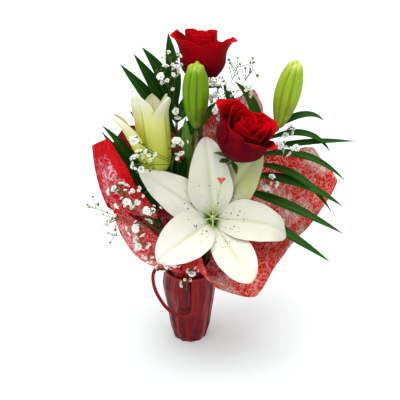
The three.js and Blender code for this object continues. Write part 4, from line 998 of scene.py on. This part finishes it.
# bearing about the axis, length, greatest width, turns away from the axis at five even places,
# inner ring or outer, droop of the tip, taper (widest place, power, bluntness) and greenness
TEPALS = [
    (95, 98, 49, (10, 56, 62, 66, 100), True, 0, (0.45, 1.3, 0.53), 0.1),
    (53, 98, 43, (12, 60, 66, 70, 90), False, 0, (0.45, 1.7, 0.65), 0.95),
    (354, 98, 44, (10, 58, 66, 86, 165), True, 16, (0.5, 1.9, 0.7), 0.15),
    (298, 96, 42, (12, 60, 64, 66, 84), False, 0, (0.55, 2.4, 0.6), 0.1),
    (222, 94, 51, (10, 56, 60, 64, 84), True, 0, (0.5, 2.0, 0.65), 0.0),
    (150, 102, 43, (12, 60, 68, 72, 90), False, 0, (0.46, 1.5, 0.68), 0.05),
]
ROOT = 3  # distance from the axis at which an inner tepal starts
ROOT_STEP = 1.4  # and how much further out an outer one does
CHANNEL, UNDER, LIP = 0.3, 0.06, -0.05  # depth of an inner and an outer channel, and at the tip
TEPAL_GRID = (56, 26)
TEPAL_STEPS = 200
TIP_GATHER = 1.3  # power that draws the rows together towards the tip


def tepal_width(u, taper):
    """Share of the greatest width: a narrow claw that swells by a quarter sine to the widest
    place, then a power of what is left of a falling power to the tip."""
    widest, power, blunt = taper
    swell = 0.14 + 0.86 * np.sin(np.minimum(u / widest, 1) * np.pi / 2) ** 1.3
    fall = 1 - np.maximum((u - widest) / (1 - widest), 0) ** power
    return swell * np.maximum(fall, 0.006) ** blunt


def tepal(bearing, length, width, turns, inner, droop, taper, green):
    """A tepal: its midline leaves the axis by the turns along it; each cross section is a
    channel with a groove along the midrib, whose edges wave a little towards the tip."""
    axis, right, up = axes(LILY_AXIS)
    out = around(rad(bearing), right, up)
    side = np.cross(axis, out)
    turn_keys = np.linspace(0, 1, len(turns))
    turn = np.radians(np.interp((np.arange(TEPAL_STEPS) + 0.5) / TEPAL_STEPS, turn_keys, turns))
    stride = around(turn, axis, out) * length / TEPAL_STEPS
    start = np.array(LILY_BASE, float) + out * (ROOT if inner else ROOT + ROOT_STEP)
    line = start + np.concatenate([[[0, 0, 0]], np.cumsum(stride, 0)])
    t, v = grid(*TEPAL_GRID)
    u = 1 - (1 - t) ** TIP_GATHER
    centre = np.stack([np.interp(u, np.linspace(0, 1, TEPAL_STEPS + 1), c) for c in line.T], -1)
    here = np.radians(np.interp(u, turn_keys, turns))[..., None]
    inward = axis * np.sin(here) - out * np.cos(here)
    reach = tepal_width(u, taper) * width * (v - 0.5)
    channel = (CHANNEL if inner else UNDER) * (1 - u) + LIP * u
    off = np.abs(v - 0.5)
    groove = -1.2 * np.exp(-60 * off**2) + 0.7 * np.exp(-240 * (off - 0.13) ** 2) * (1 - u)
    edge = (2 * off) ** 3
    long_wave, short_wave = np.sin(u * 15 + bearing), np.sin(u * 29 + 2 * bearing + 3 * (v > 0.5))
    wave = edge * smoothstep(u, 0.25, 0.7) * (1.5 * long_wave + 0.8 * short_wave)
    raised = 4 * channel * reach**2 / width + groove + wave + 0.4 * ripple(u * 5, v * 5, bearing)
    centre[..., 2] -= droop * u**3
    surface = centre + side * reach[..., None] + inward * raised[..., None]
    thick = 0.9 - 0.5 * edge - 0.2 * u
    return blade(surface, thick, np.stack([u, v], -1), green=green * smoothstep(u, 0.15, 0.6) + 0 * v)


def make_open_lily():
    """Six tepals on a small receptacle."""
    seat = np.array(LILY_BASE) - 1.5 * axes(LILY_AXIS)[0]
    profile = [(0, -4), (2.6, -3.4), (4.5, -1), (5.4, 2), (5.2, 4), (3.9, 7), (2.5, 9), (0, 9.5)]
    receptacle = turned(profile, 24, seat, LILY_AXIS)
    receptacle["uv"][:] = (0.05, 0.5)
    tepals = [tepal(*t) for t in TEPALS]
    piece("lily_tepals", together([receptacle, *tepals]), tepal_paint(), "lily_open")


STYLE_TIP = np.array([34.0, -60, 255])
FILAMENTS = 6


def make_lily_heart():
    """Six tapering filaments that arch out, the ovary and style between them, and the stigma:
    a turned knob with three lobes."""
    axis, right, up = axes(LILY_AXIS)
    base = np.array(LILY_BASE, float)
    start = base + axis * 8.4
    shapes = []
    for k in range(FILAMENTS):
        out = around(rad(30 + 360 / FILAMENTS * k), right, up)
        line = chain([start, start + axis * 17 + out * 5, start + axis * 29 + out * 15], 18)
        shapes.append(tube(line, np.linspace(0.95, 0.45, 18), 8))
    ovary = [(0, 0), (2.2, 0.3), (2.5, 3), (2.3, 12), (1.5, 17), (0, 19)]
    shapes.append(turned(ovary, 18, start, LILY_AXIS, lambda r, h, b: r * (1 + 0.07 * np.cos(3 * b))))
    middle = (start + STYLE_TIP) / 2 + axis * 3
    shapes.append(tube(chain([start, middle, STYLE_TIP], 30), np.linspace(1.25, 1.5, 30), 10))
    green = stalk_paint("filament", tint(176, 200, 112), tint(226, 232, 184), 0.4, 700)
    piece("lily_filaments_and_style", together(shapes), green, "lily_filaments")
    direction = unit(STYLE_TIP - base)
    knob = [(0, 0), (1.4, 0.1), (2.9, 1.6), (4.2, 3.4), (4.2, 4.3), (3.4, 5.0), (1.8, 4.8), (0, 4.2)]
    lobes = lambda r, h, b: r * (0.8 + 0.3 * np.sin(3 * b) - 0.06 * np.cos(6 * b))
    stigma = turned(knob, 48, STYLE_TIP + direction * 0.2, direction, lobes)
    piece("stigma", stigma, stigma_paint(), "lily_stigma")


HALF_BASE = (-33, -17, 238)
HALF_AXIS = (-0.1, 0.12, 0.99)
# bearing, half width in degrees, length, how far it leans out at five even places, layer
HALF_TEPALS = [
    (200, 58, 90, (0, 2, 8, 15, 27), 1),
    (322, 60, 98, (0, 0, 0, 1, 10), 1),
    (85, 60, 86, (0, 0, 1, 2, 5), 1),
    (247, 56, 105, (0, 1, 2, 2, 9), -0.4),
    (25, 52, 90, (0, 0, 0, 1, 4), -0.4),
    (145, 50, 88, (0, 0, 1, 2, 6), -0.4),
]
HALF_GRID = (40, 18)
HALF_RADIUS = [(0, 4), (0.05, 8.5), (0.12, 13), (0.3, 16), (0.5, 17), (1, 17.5)]


def half_tepal(bearing, reach, length, leans, layer):
    """A tepal that still wraps round the flower: it lies at the body's radius for its layer,
    leans out by its leans along it, and narrows to a point by a power of a falling power."""
    t, v = grid(*HALF_GRID)
    u = 1 - (1 - t) ** TIP_GATHER
    w = 2 * v - 1
    lean = smooth_along([(k / 4, x) for k, x in enumerate(leans)], u)[..., 0]
    body = smooth_along(HALF_RADIUS, u)[..., 0]
    r = body + layer * 1.4 + lean * (1 - 0.25 * w * w)
    narrow = np.maximum(1 - np.maximum((u - 0.5) / 0.5, 0) ** 1.9, 0.006) ** 0.75
    angle = rad(bearing) + rad(reach) * w * narrow * (body / np.maximum(r, body)) ** 0.4
    rib = 0.9 * np.exp(-28 * w * w) * (1 - 0.6 * u)
    edge = 0.7 * np.abs(w) ** 3 * np.sin(u * 14 + bearing) * u
    h = length * u - 0.4 * lean * u
    surface = about_axis(HALF_BASE, HALF_AXIS, r + rib + edge, angle, h)
    return blade(surface, 0.7 - 0.3 * np.abs(w), np.stack([u, v], -1))


def make_half_lily():
    profile = [(0, -3), (2.8, -2.8), (5, -2), (7.4, 0.6), (8.5, 3), (7.4, 5), (4.4, 6.6), (0, 7)]
    seat = turned(profile, 24, HALF_BASE, HALF_AXIS)
    seat["uv"][:] = (0.05, 0.3)
    shapes = [seat] + [half_tepal(*t) for t in HALF_TEPALS]
    piece("half_open_lily", together(shapes), half_tepal_paint(), "lily_half")


# material, its body, shade, edge and brown (a brownish tone that also stands for painted shade); base, axis,
# length, radius and profile
BUDS = {
    "lily_bud_a": (
        "bud_green", [(122, 158, 26), (76, 110, 10), (180, 204, 90), (104, 104, 24)],
        (8, -5, 288), (0, 0, 1), 77, 14.2,
        [(0, 0), (0.18, 0.01), (0.36, 0.04), (0.56, 0.13), (0.83, 0.27), (0.96, 0.41),
         (1, 0.55), (0.98, 0.67), (0.88, 0.79), (0.68, 0.9), (0.42, 0.98), (0, 1)],
    ),
    "lily_bud_b": (
        "bud_pale", [(164, 192, 56), (116, 148, 28), (212, 220, 128), (150, 156, 50)],
        (97, 10, 280), (0.2, 0.03, 0.98), 80, 14.2,
        [(0, 0), (0.18, 0.01), (0.36, 0.04), (0.54, 0.13), (0.78, 0.27), (0.94, 0.41),
         (1, 0.55), (0.96, 0.68), (0.85, 0.8), (0.66, 0.91), (0.42, 0.98), (0, 1)],
    ),
}
BUD_FACING = 260  # bearing of the band that faces the front


def bud(base, axis, length, radius, profile):
    """A closed bud: three flat bands with a seam on each side, rounded lobes between them, and
    blunt tips that stand a little apart. rim tells where the paler rims lie, groove where the seams take
    painted shade, and the third number where a brownish tone, also painted shade, lies low on one side."""
    share = np.linspace(0, 1, 64)
    radii = smooth_along([(h, r) for r, h in profile], share)[:, 0] * radius
    outline = np.stack([np.maximum(radii, 0), share * length], 1)
    outline[0, 0] = outline[-1, 0] = 0

    def swing(h, bearing):
        return np.cos(3 * (bearing - rad(BUD_FACING) + 0.1 * np.sin(3 * h)))

    def lobes(r, h, bearing):
        c = swing(h / length, bearing)
        seam = np.exp(-(((c - 0.5) / 0.3) ** 2))
        form = 0.04 * smoothstep(-c, -0.3, 0.6) + 0.03 * smoothstep(c, 0.6, 1) - 0.12 * seam
        return r * (0.97 + smoothstep(h / length, 0.02, 0.25) * form)

    shape = turned(outline, 144, base, axis, lobes)
    height, bearing = shape["uv"][:, 0], shape["uv"][:, 1] * 2 * np.pi
    c = swing(height, bearing)
    tip = smoothstep(height, 0.88, 0.985) * (height < 1)
    apart = np.where(c > 0.5, 0.4, np.abs(np.minimum(c, 0))) - 0.5
    along_axis = axes(axis)[0] * length
    shape["points"] += along_axis * (tip * 0.05 * apart)[:, None]
    shape["points"][-1] -= along_axis * 0.03
    shape["numbers"] = {
        # where the seams take painted shade
        "groove": np.exp(-(((c - 0.5) / 0.28) ** 2)),
        "rim": np.exp(-(((c - 0.8) / 0.1) ** 2)),
        # a brownish tone, also painted shade, low on the right-front side
        "cast": smoothstep(np.cos(bearing + 0.7), 0.3, 0.9) * (1 - smoothstep(height, 0.35, 0.6)),
    }
    return shape


def make_buds():
    for node, (look, colours, *form) in BUDS.items():
        paint = bud_paint(look, *(tint(*colour) for colour in colours))
        piece(node.replace("lily_", "") + "_closed", bud(*form), paint, node)


# ------------------------------------------------------------------ roses

# base, axis, length, and how much painted shade darkens the outer petals
ROSES = {
    "rose_a": ((13, 34, 321), (0.02, 0.25, 0.97), 60, 0.3),
    "rose_b": ((46, -30, 269), (0.38, -0.08, 0.92), 56, 0.95),
}
OUTER_PETALS = 5
ROSE_CORE = [(0, 0), (6, 0.4), (10, 1.5), (12.6, 3.4), (12.4, 5.6), (5, 9)]
CALYX = [(0, -12), (1.8, -11.6), (2.6, -10), (4.4, -6.6), (5.6, -4), (5.8, -2), (5, 0), (0, 0)]
# Petals from the outside inwards: bearing, half width in degrees, radius, height, roll of the
# rim, where its tip lies across it (-1 to 1), and how much one side stands above the other
ROSE_PETALS = {
    "rose_a": [
        (328, 78, 26, 55, 13, 0.1, 0), (212, 84, 23.5, 57, 11, -0.15, -5), (88, 84, 22, 50, 4, 0, 0),
        (268, 66, 17, 53, 2, 0, 0), (32, 76, 16.5, 57, 2, 0, 0), (150, 76, 16.5, 58, 2, 0, 0),
        (335, 70, 11.5, 55, 1, 0, 0), (90, 70, 11.5, 56, 1, 0, 0), (210, 70, 11.5, 56, 1, 0, 0),
        (20, 84, 6, 53, 0, 0, 0), (200, 84, 6, 54, 0, 0, 0),
    ],
    "rose_b": [
        (300, 70, 28, 43, 8, 0.6, 0), (222, 66, 26.5, 45, 3, -0.3, 0), (25, 66, 26.5, 50, 7, 0, 0),
        (150, 74, 27.5, 54, 13, 0.15, 0), (270, 64, 20.5, 45, 3, 0, 0), (20, 64, 20.5, 48, 4, 0, 0),
        (146, 64, 20.5, 52, 4, 0, 0), (235, 66, 14.5, 48, 2, 0, 0), (350, 66, 14.5, 48, 2, 0, 0),
        (105, 66, 14.5, 51, 2, 0, 0), (30, 90, 7.5, 50, 0, 0, 0), (210, 84, 7, 49, 0, 0, 0),
    ],
}
# The heart's own petals, which the scene adds between the inner ones
ROSE_HEART = [
    (70, 74, 9.4, 0.92, 0.8), (190, 74, 9.4, 0.9, 0.8), (310, 74, 9.4, 0.91, 0.8),
    (120, 100, 4.2, 0.88, 0.2), (300, 100, 3.4, 0.87, 0.1),
]
ROSE_STEMS = {
    "rose_a": [(5, 10, 8), (8, 15, 100), (12, 26, 220), (13, 33, 317)],
    "rose_b": [(11, -2, 8), (17, -3, 100), (36, 4, 180), (48, 8, 240), (49, -6, 262), (43, -26.5, 260.5)],
}
SEPALS = 5
PETAL_GRID = (22, 20)
PETAL_ROOT = 0.4  # share of its radius at which a petal leaves the core


def petal(rose, bearing, spread, radius, height, roll, tip, tilt, seed, dark):
    """A rose petal wrapped round the bloom: it rises from the core to its radius by a quarter
    sine; above its middle it rolls out by a square, most at its tip, whose rim is a soft point;
    one edge lies inside the next petal, and the rim's last part turns over."""
    t, v = grid(*PETAL_GRID)
    u = 1 - (1 - t) ** 1.2
    w = 2 * v - 1
    shoulder = np.sqrt(np.maximum(1 - np.maximum((u - 0.5) / 0.5, 0) ** 3.2, 0.3))
    angle = rad(bearing) + rad(spread) * w * shoulder
    belly = np.sin(np.minimum(u * 2.1, 1) * np.pi / 2)
    near = np.exp(-(((w - tip) / 0.5) ** 2))
    curl = roll * np.maximum((u - 0.5) / 0.5, 0) ** 2 * (0.35 + 0.65 * near)
    over = roll * 0.25 * np.maximum((u - 0.86) / 0.14, 0) ** 2 * (0.4 + 0.6 * near)
    wave = smoothstep(u, 0.6, 1) * (0.35 + 0.05 * roll) * np.sin(2.6 * w + seed)
    r = radius * lerp(PETAL_ROOT, 1, belly) + 1.2 * w + curl + over * 0.4 + wave
    point = 2.2 * np.exp(-(((w - tip) / 0.32) ** 2)) * u**5 * min(roll / 6, 1)
    h = lerp(2, height, u) + tilt * w * u * u - curl * 0.3 - 0.035 * height * w**4 * u - over * 0.9 + point
    surface = about_axis(rose[0], rose[1], r, angle, h)
    return blade(surface, 0.62 - 0.22 * np.abs(w), np.stack([u, v], -1), dark=dark)


def make_roses():
    paint = rose_paint()
    stalk = stalk_paint("rose_stalk", tint(44, 72, 34), tint(86, 112, 56), 0.5)
    green = leaf_paint("rose_sepal", tint(48, 80, 36), tint(92, 124, 60), tint(130, 150, 90), 0.55)
    for name, rose in ROSES.items():
        base, axis, length, outer = rose
        core = turned([*ROSE_CORE, (2.4, length * 0.8), (0, length * 0.88)], 24, base, axis)
        core["uv"][:, 0] *= 0.6
        shapes = [core]
        for k, form in enumerate(ROSE_PETALS[name]):
            # the outer petals take their rose's painted shade, the inner ones a little
            shapes.append(petal(rose, *form, 1.7 * k, outer if k < OUTER_PETALS else 0.15))
        for k, (bearing, spread, radius, tall, roll) in enumerate(ROSE_HEART):
            shapes.append(petal(rose, bearing, spread, radius, tall * length, roll, 0, 0, 2.3 * k, 0.1))
        piece(name + "_petals", together(shapes), paint, name)
        make_rose_stem(name, rose, stalk, green)


def make_rose_stem(name, rose, stalk_look, leaf_look):
    """The stem, its turned calyx under the bloom, and five sepals that arch down."""
    base, axis = rose[:2]
    a, right, up = axes(axis)
    top = np.array(base, float) - 0.4 * a
    calyx = turned(CALYX, 24, top, axis)
    stalk = tube(evenly(chain(ROSE_STEMS[name], 300), np.linspace(0, 1, 70)), 2.4, 12)
    piece(name + "_stalk", together([stalk, calyx]), stalk_look, name + "_stem")
    sepals = []
    for k in range(SEPALS):
        out = around(rad(82 + 360 / SEPALS * k), right, up)
        spots = [top + out * d + a * h for d, h in ((3.5, -4), (12, -6), (19, -3 - 6 * (k % 2)))]
        sepals.append(leaf(*spots, 7, a, rows=14, columns=6, tone=k / SEPALS))
    piece(name + "_sepals", together(sepals), leaf_look, name + "_stem")


# ------------------------------------------------------------------ fronds

# rib points, then leaflets: the curve parameter where each leaves it, the point that it arches
# over, its tip and its width
FRONDS = {
    "frond_right": (
        [(11, 7, 8), (12, 9, 100), (36, 18, 156), (66, 20, 225), (86, 20, 266)],
        [
            (0.99, (124, 20, 304), (146, 14, 287), 9), (0.94, (130, 12, 288), (154, 4, 254), 8.5),
            (0.88, (130, 10, 264), (179, 0, 269), 8), (0.82, (128, 0, 266), (170, -12, 227), 9.5),
            (0.76, (122, -12, 248), (156, -30, 197), 9), (0.7, (118, -18, 238), (167, -32, 206), 12),
            (0.64, (108, -34, 212), (167, -48, 181), 12), (0.57, (92, -44, 192), (153, -64, 155), 13),
            (0.9, (78, 40, 296), (50, 44, 318), 12), (0.8, (50, 38, 282), (36, 42, 326), 13),
        ],
    ),
    "frond_back": (
        [(-5, 9, 8), (-8, 17, 100), (-16, 30, 180), (-14, 34, 250), (-12, 32, 300)],
        [
            (0.99, (-18, 28, 345), (-21, 26, 384), 15), (0.93, (-24, 36, 326), (-49, 34, 364), 18),
            (0.86, (-32, 36, 306), (-58, 34, 356), 18), (0.78, (-40, 36, 296), (-73, 34, 344), 18),
            (0.86, (-2, 54, 282), (10, 72, 300), 16), (0.76, (8, 48, 256), (30, 60, 284), 18),
            (0.66, (-40, 34, 250), (-64, 28, 290), 18), (0.6, (-28, 30, 224), (-40, 24, 262), 19),
            (0.54, (-10, 26, 204), (0, 24, 240), 19), (0.5, (-26, 26, 186), (-34, 18, 214), 19),
        ],
    ),
    "frond_left": (
        [(-12, 0, 8), (-17, 3, 100), (-30, 6, 150), (-44, 8, 190)],
        [
            (0.99, (-62, 12, 246), (-94, 14, 280), 12), (0.9, (-66, 4, 232), (-94, 6, 277), 11),
            (0.8, (-58, -10, 206), (-74, -14, 234), 17), (0.72, (-46, -22, 184), (-58, -28, 214), 18),
            (0.64, (-34, -26, 158), (-36, -36, 190), 18), (0.85, (-42, 28, 216), (-54, 34, 244), 16),
            (0.97, (-48, 16, 224), (-46, 12, 256), 15),
        ],
    ),
}


def make_fronds():
    """Each frond: a rib that thins upwards, and folded leaflets that leave it in a row."""
    rib_look = stalk_paint("frond_rib", tint(40, 74, 34), tint(86, 120, 60), 0.45)
    blade_look = leaf_paint("palm_leaflet", tint(8, 44, 10), tint(36, 94, 22), tint(84, 130, 50), 0.46)
    for name, (rib, leaflets) in FRONDS.items():
        line = chain(rib, 401)
        stalk = tube(evenly(line, np.linspace(0, 1, 60)), np.linspace(1.7, 1.0, 60), 8)
        piece(name + "_rib", stalk, rib_look, name)
        blades = []
        for k, (at, via, tip, width) in enumerate(leaflets):
            spot = line[round(at * 400)]
            start = spot + unit(np.array(via, float) - spot) * 0.5
            blades.append(leaf(start, via, tip, width, (0, -0.5, 1), 0.2, 30, 12, tone=k / 10, thick=0.45))
        piece(name + "_leaflets", together(blades), blade_look, name)


# ------------------------------------------------------------------ baby's breath

# main twig, then sprigs: share of the twig where each leaves, its head, florets, buds, reach
SPRAYS = {
    "breath_upper_left": (
        [(-6, 2, 8), (-7, 6, 100), (-12, 12, 200), (-14, 8, 270), (-16, 6, 330)],
        [
            (0.97, (-13, 5, 355), 3, 0, 9), (0.93, (-25, 5, 343), 4, 0, 10), (0.88, (-45, 2, 326), 3, 0, 9),
            (0.9, (-10, -6, 310), 2, 0, 9), (0.98, (-20, 12, 366), 1, 2, 12),
        ],
    ),
    "breath_upper_right": (
        [(4, 4, 8), (6, 6, 100), (20, 16, 200), (30, 14, 270), (34, 11, 312)],
        [
            (0.98, (29, 8, 337), 3, 0, 9), (0.96, (42, 8, 331), 2, 0, 9), (0.9, (31, 2, 322), 2, 0, 10),
            (0.86, (32, -4, 308), 2, 0, 7), (0.97, (52, 14, 352), 1, 3, 13),
            (0.94, (68, 15, 348), 0, 3, 13), (0.86, (62, 18, 324), 2, 1, 11),
        ],
    ),
    "breath_half_lily": (
        [(-9, -4, 8), (-14, -4, 100), (-18, -14, 180), (-19, -20, 235), (-17, -30, 264)],
        [
            (0.99, (-55, -50, 300), 2, 0, 8), (0.98, (-43, -48, 286), 2, 0, 7),
            (0.95, (-12, -24, 284), 3, 0, 9), (0.99, (-12, -32, 268), 1, 0, 5),
            (0.97, (-53, -50, 272), 4, 0, 10),
        ],
    ),
    "breath_left": (
        [(-8, -8, 8), (-12, -12, 100), (-19, -33, 150), (-28, -50, 182), (-44, -62, 204)],
        [
            (0.99, (-74, -50, 240), 3, 0, 12), (0.99, (-56, -58, 243), 3, 0, 10),
            (0.97, (-64, -60, 226), 3, 0, 11), (0.96, (-85, -54, 206), 3, 0, 11),
            (0.92, (-40, -64, 224), 3, 0, 10), (0.93, (-58, -66, 200), 3, 0, 8),
            (0.9, (-82, -54, 182), 2, 0, 9), (0.88, (-53, -66, 178), 3, 0, 9),
            (0.86, (-84, -50, 148), 1, 1, 12), (0.84, (-46, -64, 160), 2, 0, 8),
            (0.95, (-104, -46, 214), 0, 2, 10),
        ],
    ),
    "breath_front": (
        [(1, -10, 8), (0, -14, 100), (-2, -21, 138), (-8, -42, 158)],
        [
            (0.97, (-32, -50, 134), 1, 0, 6), (0.99, (-18, -56, 144), 2, 0, 7),
            (0.94, (3, -46, 127), 2, 0, 6), (0.93, (-2, -44, 107), 1, 1, 7),
            (0.95, (-24, -42, 112), 1, 0, 6),
        ],
    ),
    "breath_right": (
        [(8, 2, 8), (11, 3, 100), (34, 10, 170), (64, 8, 222), (84, 2, 250)],
        [
            (0.99, (102, -4, 263), 3, 0, 10), (0.9, (88, -22, 228), 2, 0, 8),
            (0.97, (108, 4, 284), 1, 1, 7), (0.99, (116, -8, 260), 2, 0, 8),
        ],
    ),
}
FLORET_RADII = (4.4, 2.6, 2.2)
BUD_RADIUS = 1.2
FIRST_SEED = 11
CAD_TWIG_NEAR = 1.2  # a sprig or a floret is drawn where the CAD node has a point this near
CAD_FLORET_NEAR = 1.5
FILLER_WAY = (0.5, 0.9, 0.35)  # shares of the sprig's way, any way and forward in a filler's
FILLER_REACH = (0.8, 1.5)
TWIG_RADII = (0.9, 0.5)  # at the bottom and the top of a main twig
SPRIG_RADIUS = 0.32
STALK_RADIUS = 0.3
FREE_ROOM = 0.9  # least distance of a filler from other nodes
FREE_APART = 3  # and, past its radius, from other fillers
FLORET_FACE = np.array([0, -0.8, 0.6])
# Lengths are shares of the radius: where the stalk ends below the heart; sides and profile of the
# green cup; rows and columns of a petal; rings of size, petals, tilt, lift and turn
FLOWERS = {
    "full": (
        0.3, 8, [(0, -0.8), (0.16, -0.7), (0.3, -0.3), (0.26, 0), (0, 0.04)],
        (3, 4), [(1, 6, 0.12, -0.1, 0), (0.78, 5, 0.5, -0.05, 0.5), (0.5, 4, 0.95, 0, 0.2)],
    ),
    "half": (
        0.8, 8, [(0, -1.1), (0.3, -0.9), (0.5, -0.4), (0.4, -0.1), (0, 0)],
        (3, 4), [(1, 5, 0.45, -0.4, 0), (0.75, 4, 0.95, -0.35, 0.6)],
    ),
    "small": (
        0.6, 6, [(0, -1), (0.35, -0.5), (0.3, -0.1), (0, 0)],
        (2, 2), [(1, 5, 0.3, -0.2, 0), (0.68, 4, 0.85, -0.15, 0.6)],
    ),
    "closed": (
        1, 8, [(0, -1.2), (0.7, -0.7), (1, 0), (0.75, 0.7), (0.3, 1.05), (0, 1.1)], (), [],
    ),
}


def seeded(seed):
    """The same small generator of numbers from 0 to 1 as the CAD sprays have."""
    low = 0xFFFFFFFF
    state = seed

    def following():
        nonlocal state
        state = (state + 0x6D2B79F5) & low
        t = ((state ^ (state >> 15)) * (1 | state)) & low
        t = ((t + (((t ^ (t >> 7)) * (61 | t)) & low)) & low) ^ t
        return ((t ^ (t >> 14)) & low) / 4294967296

    return following


def about(vector, axis, angle):
    """A vector turned about an axis by an angle."""
    return (
        vector * math.cos(angle)
        + np.cross(axis, vector) * math.sin(angle)
        + axis * (axis @ vector) * (1 - math.cos(angle))
    )


def on_twig(path, share):
    """A point at a share of a twig, straight between the rings that the CAD twig has."""
    rings = evenly(chain(path, 800), np.linspace(0, 1, ROD_STEPS + 1))
    spot = min(share * ROD_STEPS, ROD_STEPS - 1e-6)
    return lerp(rings[int(spot)], rings[int(spot) + 1], spot - int(spot))


def ruffle(tip, facing, radius, petals, tilt, lift, phase, rows, columns):
    """A ring of petals: each is a small spoon from the heart out to the rim, wavy and notched
    at its end, raised from the floret's plane by the tilt."""
    u, v = grid(rows, columns)
    w = 2 * v - 1
    k = np.arange(petals)[:, None, None]
    angle = phase + 2 * np.pi * k / petals + (0.75 * np.pi / petals) * w * (0.35 + 0.75 * u) * 1.5
    notch = 1 - 0.14 * np.exp(-((w / 0.35) ** 2)) * u
    r = radius * (0.12 + 0.88 * u) * notch * (1 + 0.08 * np.sin(k * 2.4))
    h = lift + radius * (math.sin(tilt) * u + 0.1 * np.sin(3 * w + k * 1.3) * u - 0.12 * w * w)
    r = r * math.cos(tilt)
    place = about_axis(tip, facing, r, angle, h + 0 * r)
    eye = np.exp(-((u / 0.28) ** 2)) * 0.85
    return [
        blade(place[n], 0.22, np.stack([u, v], -1), kind=1.0, eye=eye if tilt < 1.2 else 0.0)
        for n in range(petals)
    ]


def coloured(shape, kind):
    shape["numbers"] = {"kind": np.full(len(shape["points"]), kind)}
    return shape


def twiglet(start, end, radius=STALK_RADIUS):
    """A hair-thin stalk with a slight bow."""
    middle = (start + end) / 2 + np.array([0, 0, -0.02]) * np.linalg.norm(end - start)
    return coloured(tube(chain([start, middle, end], 5), np.linspace(radius * 1.15, radius, 5), 5), 0.0)


def flower(kind, root, tip, radius, phase=0.0):
    """A flower of a kind on its stalk: a green cup or bead, and rings of petals."""
    stalk, sides, cup, cells, rings = FLOWERS[kind]
    facing = unit(tip - root)
    bead = turned(np.array(cup) * radius, sides, tip, facing)
    shapes = [twiglet(root, tip - facing * radius * stalk), coloured(bead, 0.5)]
    for size, petals, tilt, lift, turn in rings:
        shapes += ruffle(tip, facing, radius * size, petals, tilt, radius * lift, phase + turn, *cells)
    return shapes


def cad_points(name):
    """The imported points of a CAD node, in millimetres."""
    node = bpy.data.objects[name]
    points = np.empty(len(node.data.vertices) * 3)
    node.data.vertices.foreach_get("co", points)
    world = np.array(node.matrix_world)
    return (points.reshape(-1, 3) @ world[:3, :3].T + world[:3, 3]) / MM


def clearances():
    """For each CAD node, a tree of its faces that gives the distance from a point."""
    trees = {}
    for name in cad_nodes:
        faces = [tuple(face.vertices) for face in bpy.data.objects[name].data.polygons]
        trees[name] = BVHTree.FromPolygons(cad_points(name).tolist(), faces)
    return trees


def fillers(start, end, florets, reach, near, rng):
    """More small florets and closed buds on hair-thin stalks that leave a sprig near its head,
    each drawn outwards and forward from it, and kept only where nothing else is near."""
    outward = unit(end - start)
    low, high = (np.array(corner) / MM for corner in cad_box)
    shapes, taken = [], []
    for k in range(2 * florets + 4):
        root = lerp(end, start, rng.uniform(0, min(0.5, 1.3 * reach / np.linalg.norm(end - start))))
        onward, anyhow, forward = FILLER_WAY
        way = unit(onward * outward + anyhow * unit(rng.normal(size=3)) + forward * FLORET_FACE)
        tip = root + way * reach * rng.uniform(*FILLER_REACH)
        radius = FLORET_RADII[int(rng.integers(3))]
        kind = "closed" if k % 3 == 2 else "small"
        if kind == "closed":
            radius = BUD_RADIUS
        reached = [near(lerp(root, tip, t)) - bare for t, bare in ((1, radius), (0.6, 0))]
        apart = min([np.linalg.norm(tip - other) for other in taken], default=99)
        if min(reached) < FREE_ROOM or apart < radius + FREE_APART or (tip < low).any() or (tip > high).any():
            continue
        taken.append(tip)
        shapes += flower(kind, root, tip, radius, k)
    return shapes


def make_sprays():
    """Each spray repeats the CAD's draws, and grows a flower where the CAD node has one, with
    smaller ones between them."""
    paint = floret_paint()
    trees = clearances()
    for order, (name, (path, sprigs)) in enumerate(SPRAYS.items()):
        rng = np.random.default_rng(FIRST_SEED + order)
        others = [tree for node, tree in trees.items() if node != name]
        near = lambda point: min(tree.find_nearest(point.tolist())[3] for tree in others)
        solid = cad_points(name)
        random = seeded(FIRST_SEED + order)
        line = evenly(chain(path, 400), np.linspace(0, 1, 60))
        shapes = [coloured(tube(line, np.linspace(*TWIG_RADII, len(line)), 6), 0.0)]
        for share, head, florets, buds, reach in sprigs:
            start, end = on_twig(path, share), np.array(head, float)
            outward = unit(end - start)
            across = unit(np.cross(outward, [1.0, 0, 0]))
            if np.linalg.norm(solid - end, axis=1).min() < CAD_TWIG_NEAR:
                shapes.append(twiglet(start, end, SPRIG_RADIUS))
                shapes += fillers(start, end, florets, reach, near, rng)
            for k in range(florets + buds):
                a, b, c, d = (random() for _ in range(4))
                sideways = unit(about(across, outward, 2 * np.pi * a) + 0.6 * FLORET_FACE)
                facing = unit(sideways + outward * (0.3 + 0.7 * b))
                root = end - outward * (0.5 + 0.8 * reach * k / (florets + buds))
                tip = root + facing * reach * (0.7 + 0.6 * c)
                if np.linalg.norm(solid - tip, axis=1).min() > CAD_FLORET_NEAR:
                    continue
                size = int(d * 3)
                if k >= florets:
                    shapes += flower("closed", root, tip, BUD_RADIUS)
                else:
                    shapes += flower("half" if size else "full", root, tip, FLORET_RADII[size], 6 * a)
        piece(name + "_fine", together(shapes), paint, name)


# ------------------------------------------------------------------ assembly


def repaint(node, paint):
    """A CAD node that keeps its shape gets a better finish."""
    materials = bpy.data.objects[node].data.materials
    for k in range(len(materials)):
        materials[k] = paint
    if not materials:
        materials.append(paint)


make_camera()
make_ribbon()
make_studio()
make_foot()
repaint("tumbler", tumbler_paint())
repaint("foam_plug", foam_paint())
make_collar()
make_lily_stem()
make_open_lily()
make_lily_heart()
make_half_lily()
make_buds()
make_roses()
make_fronds()
make_sprays()
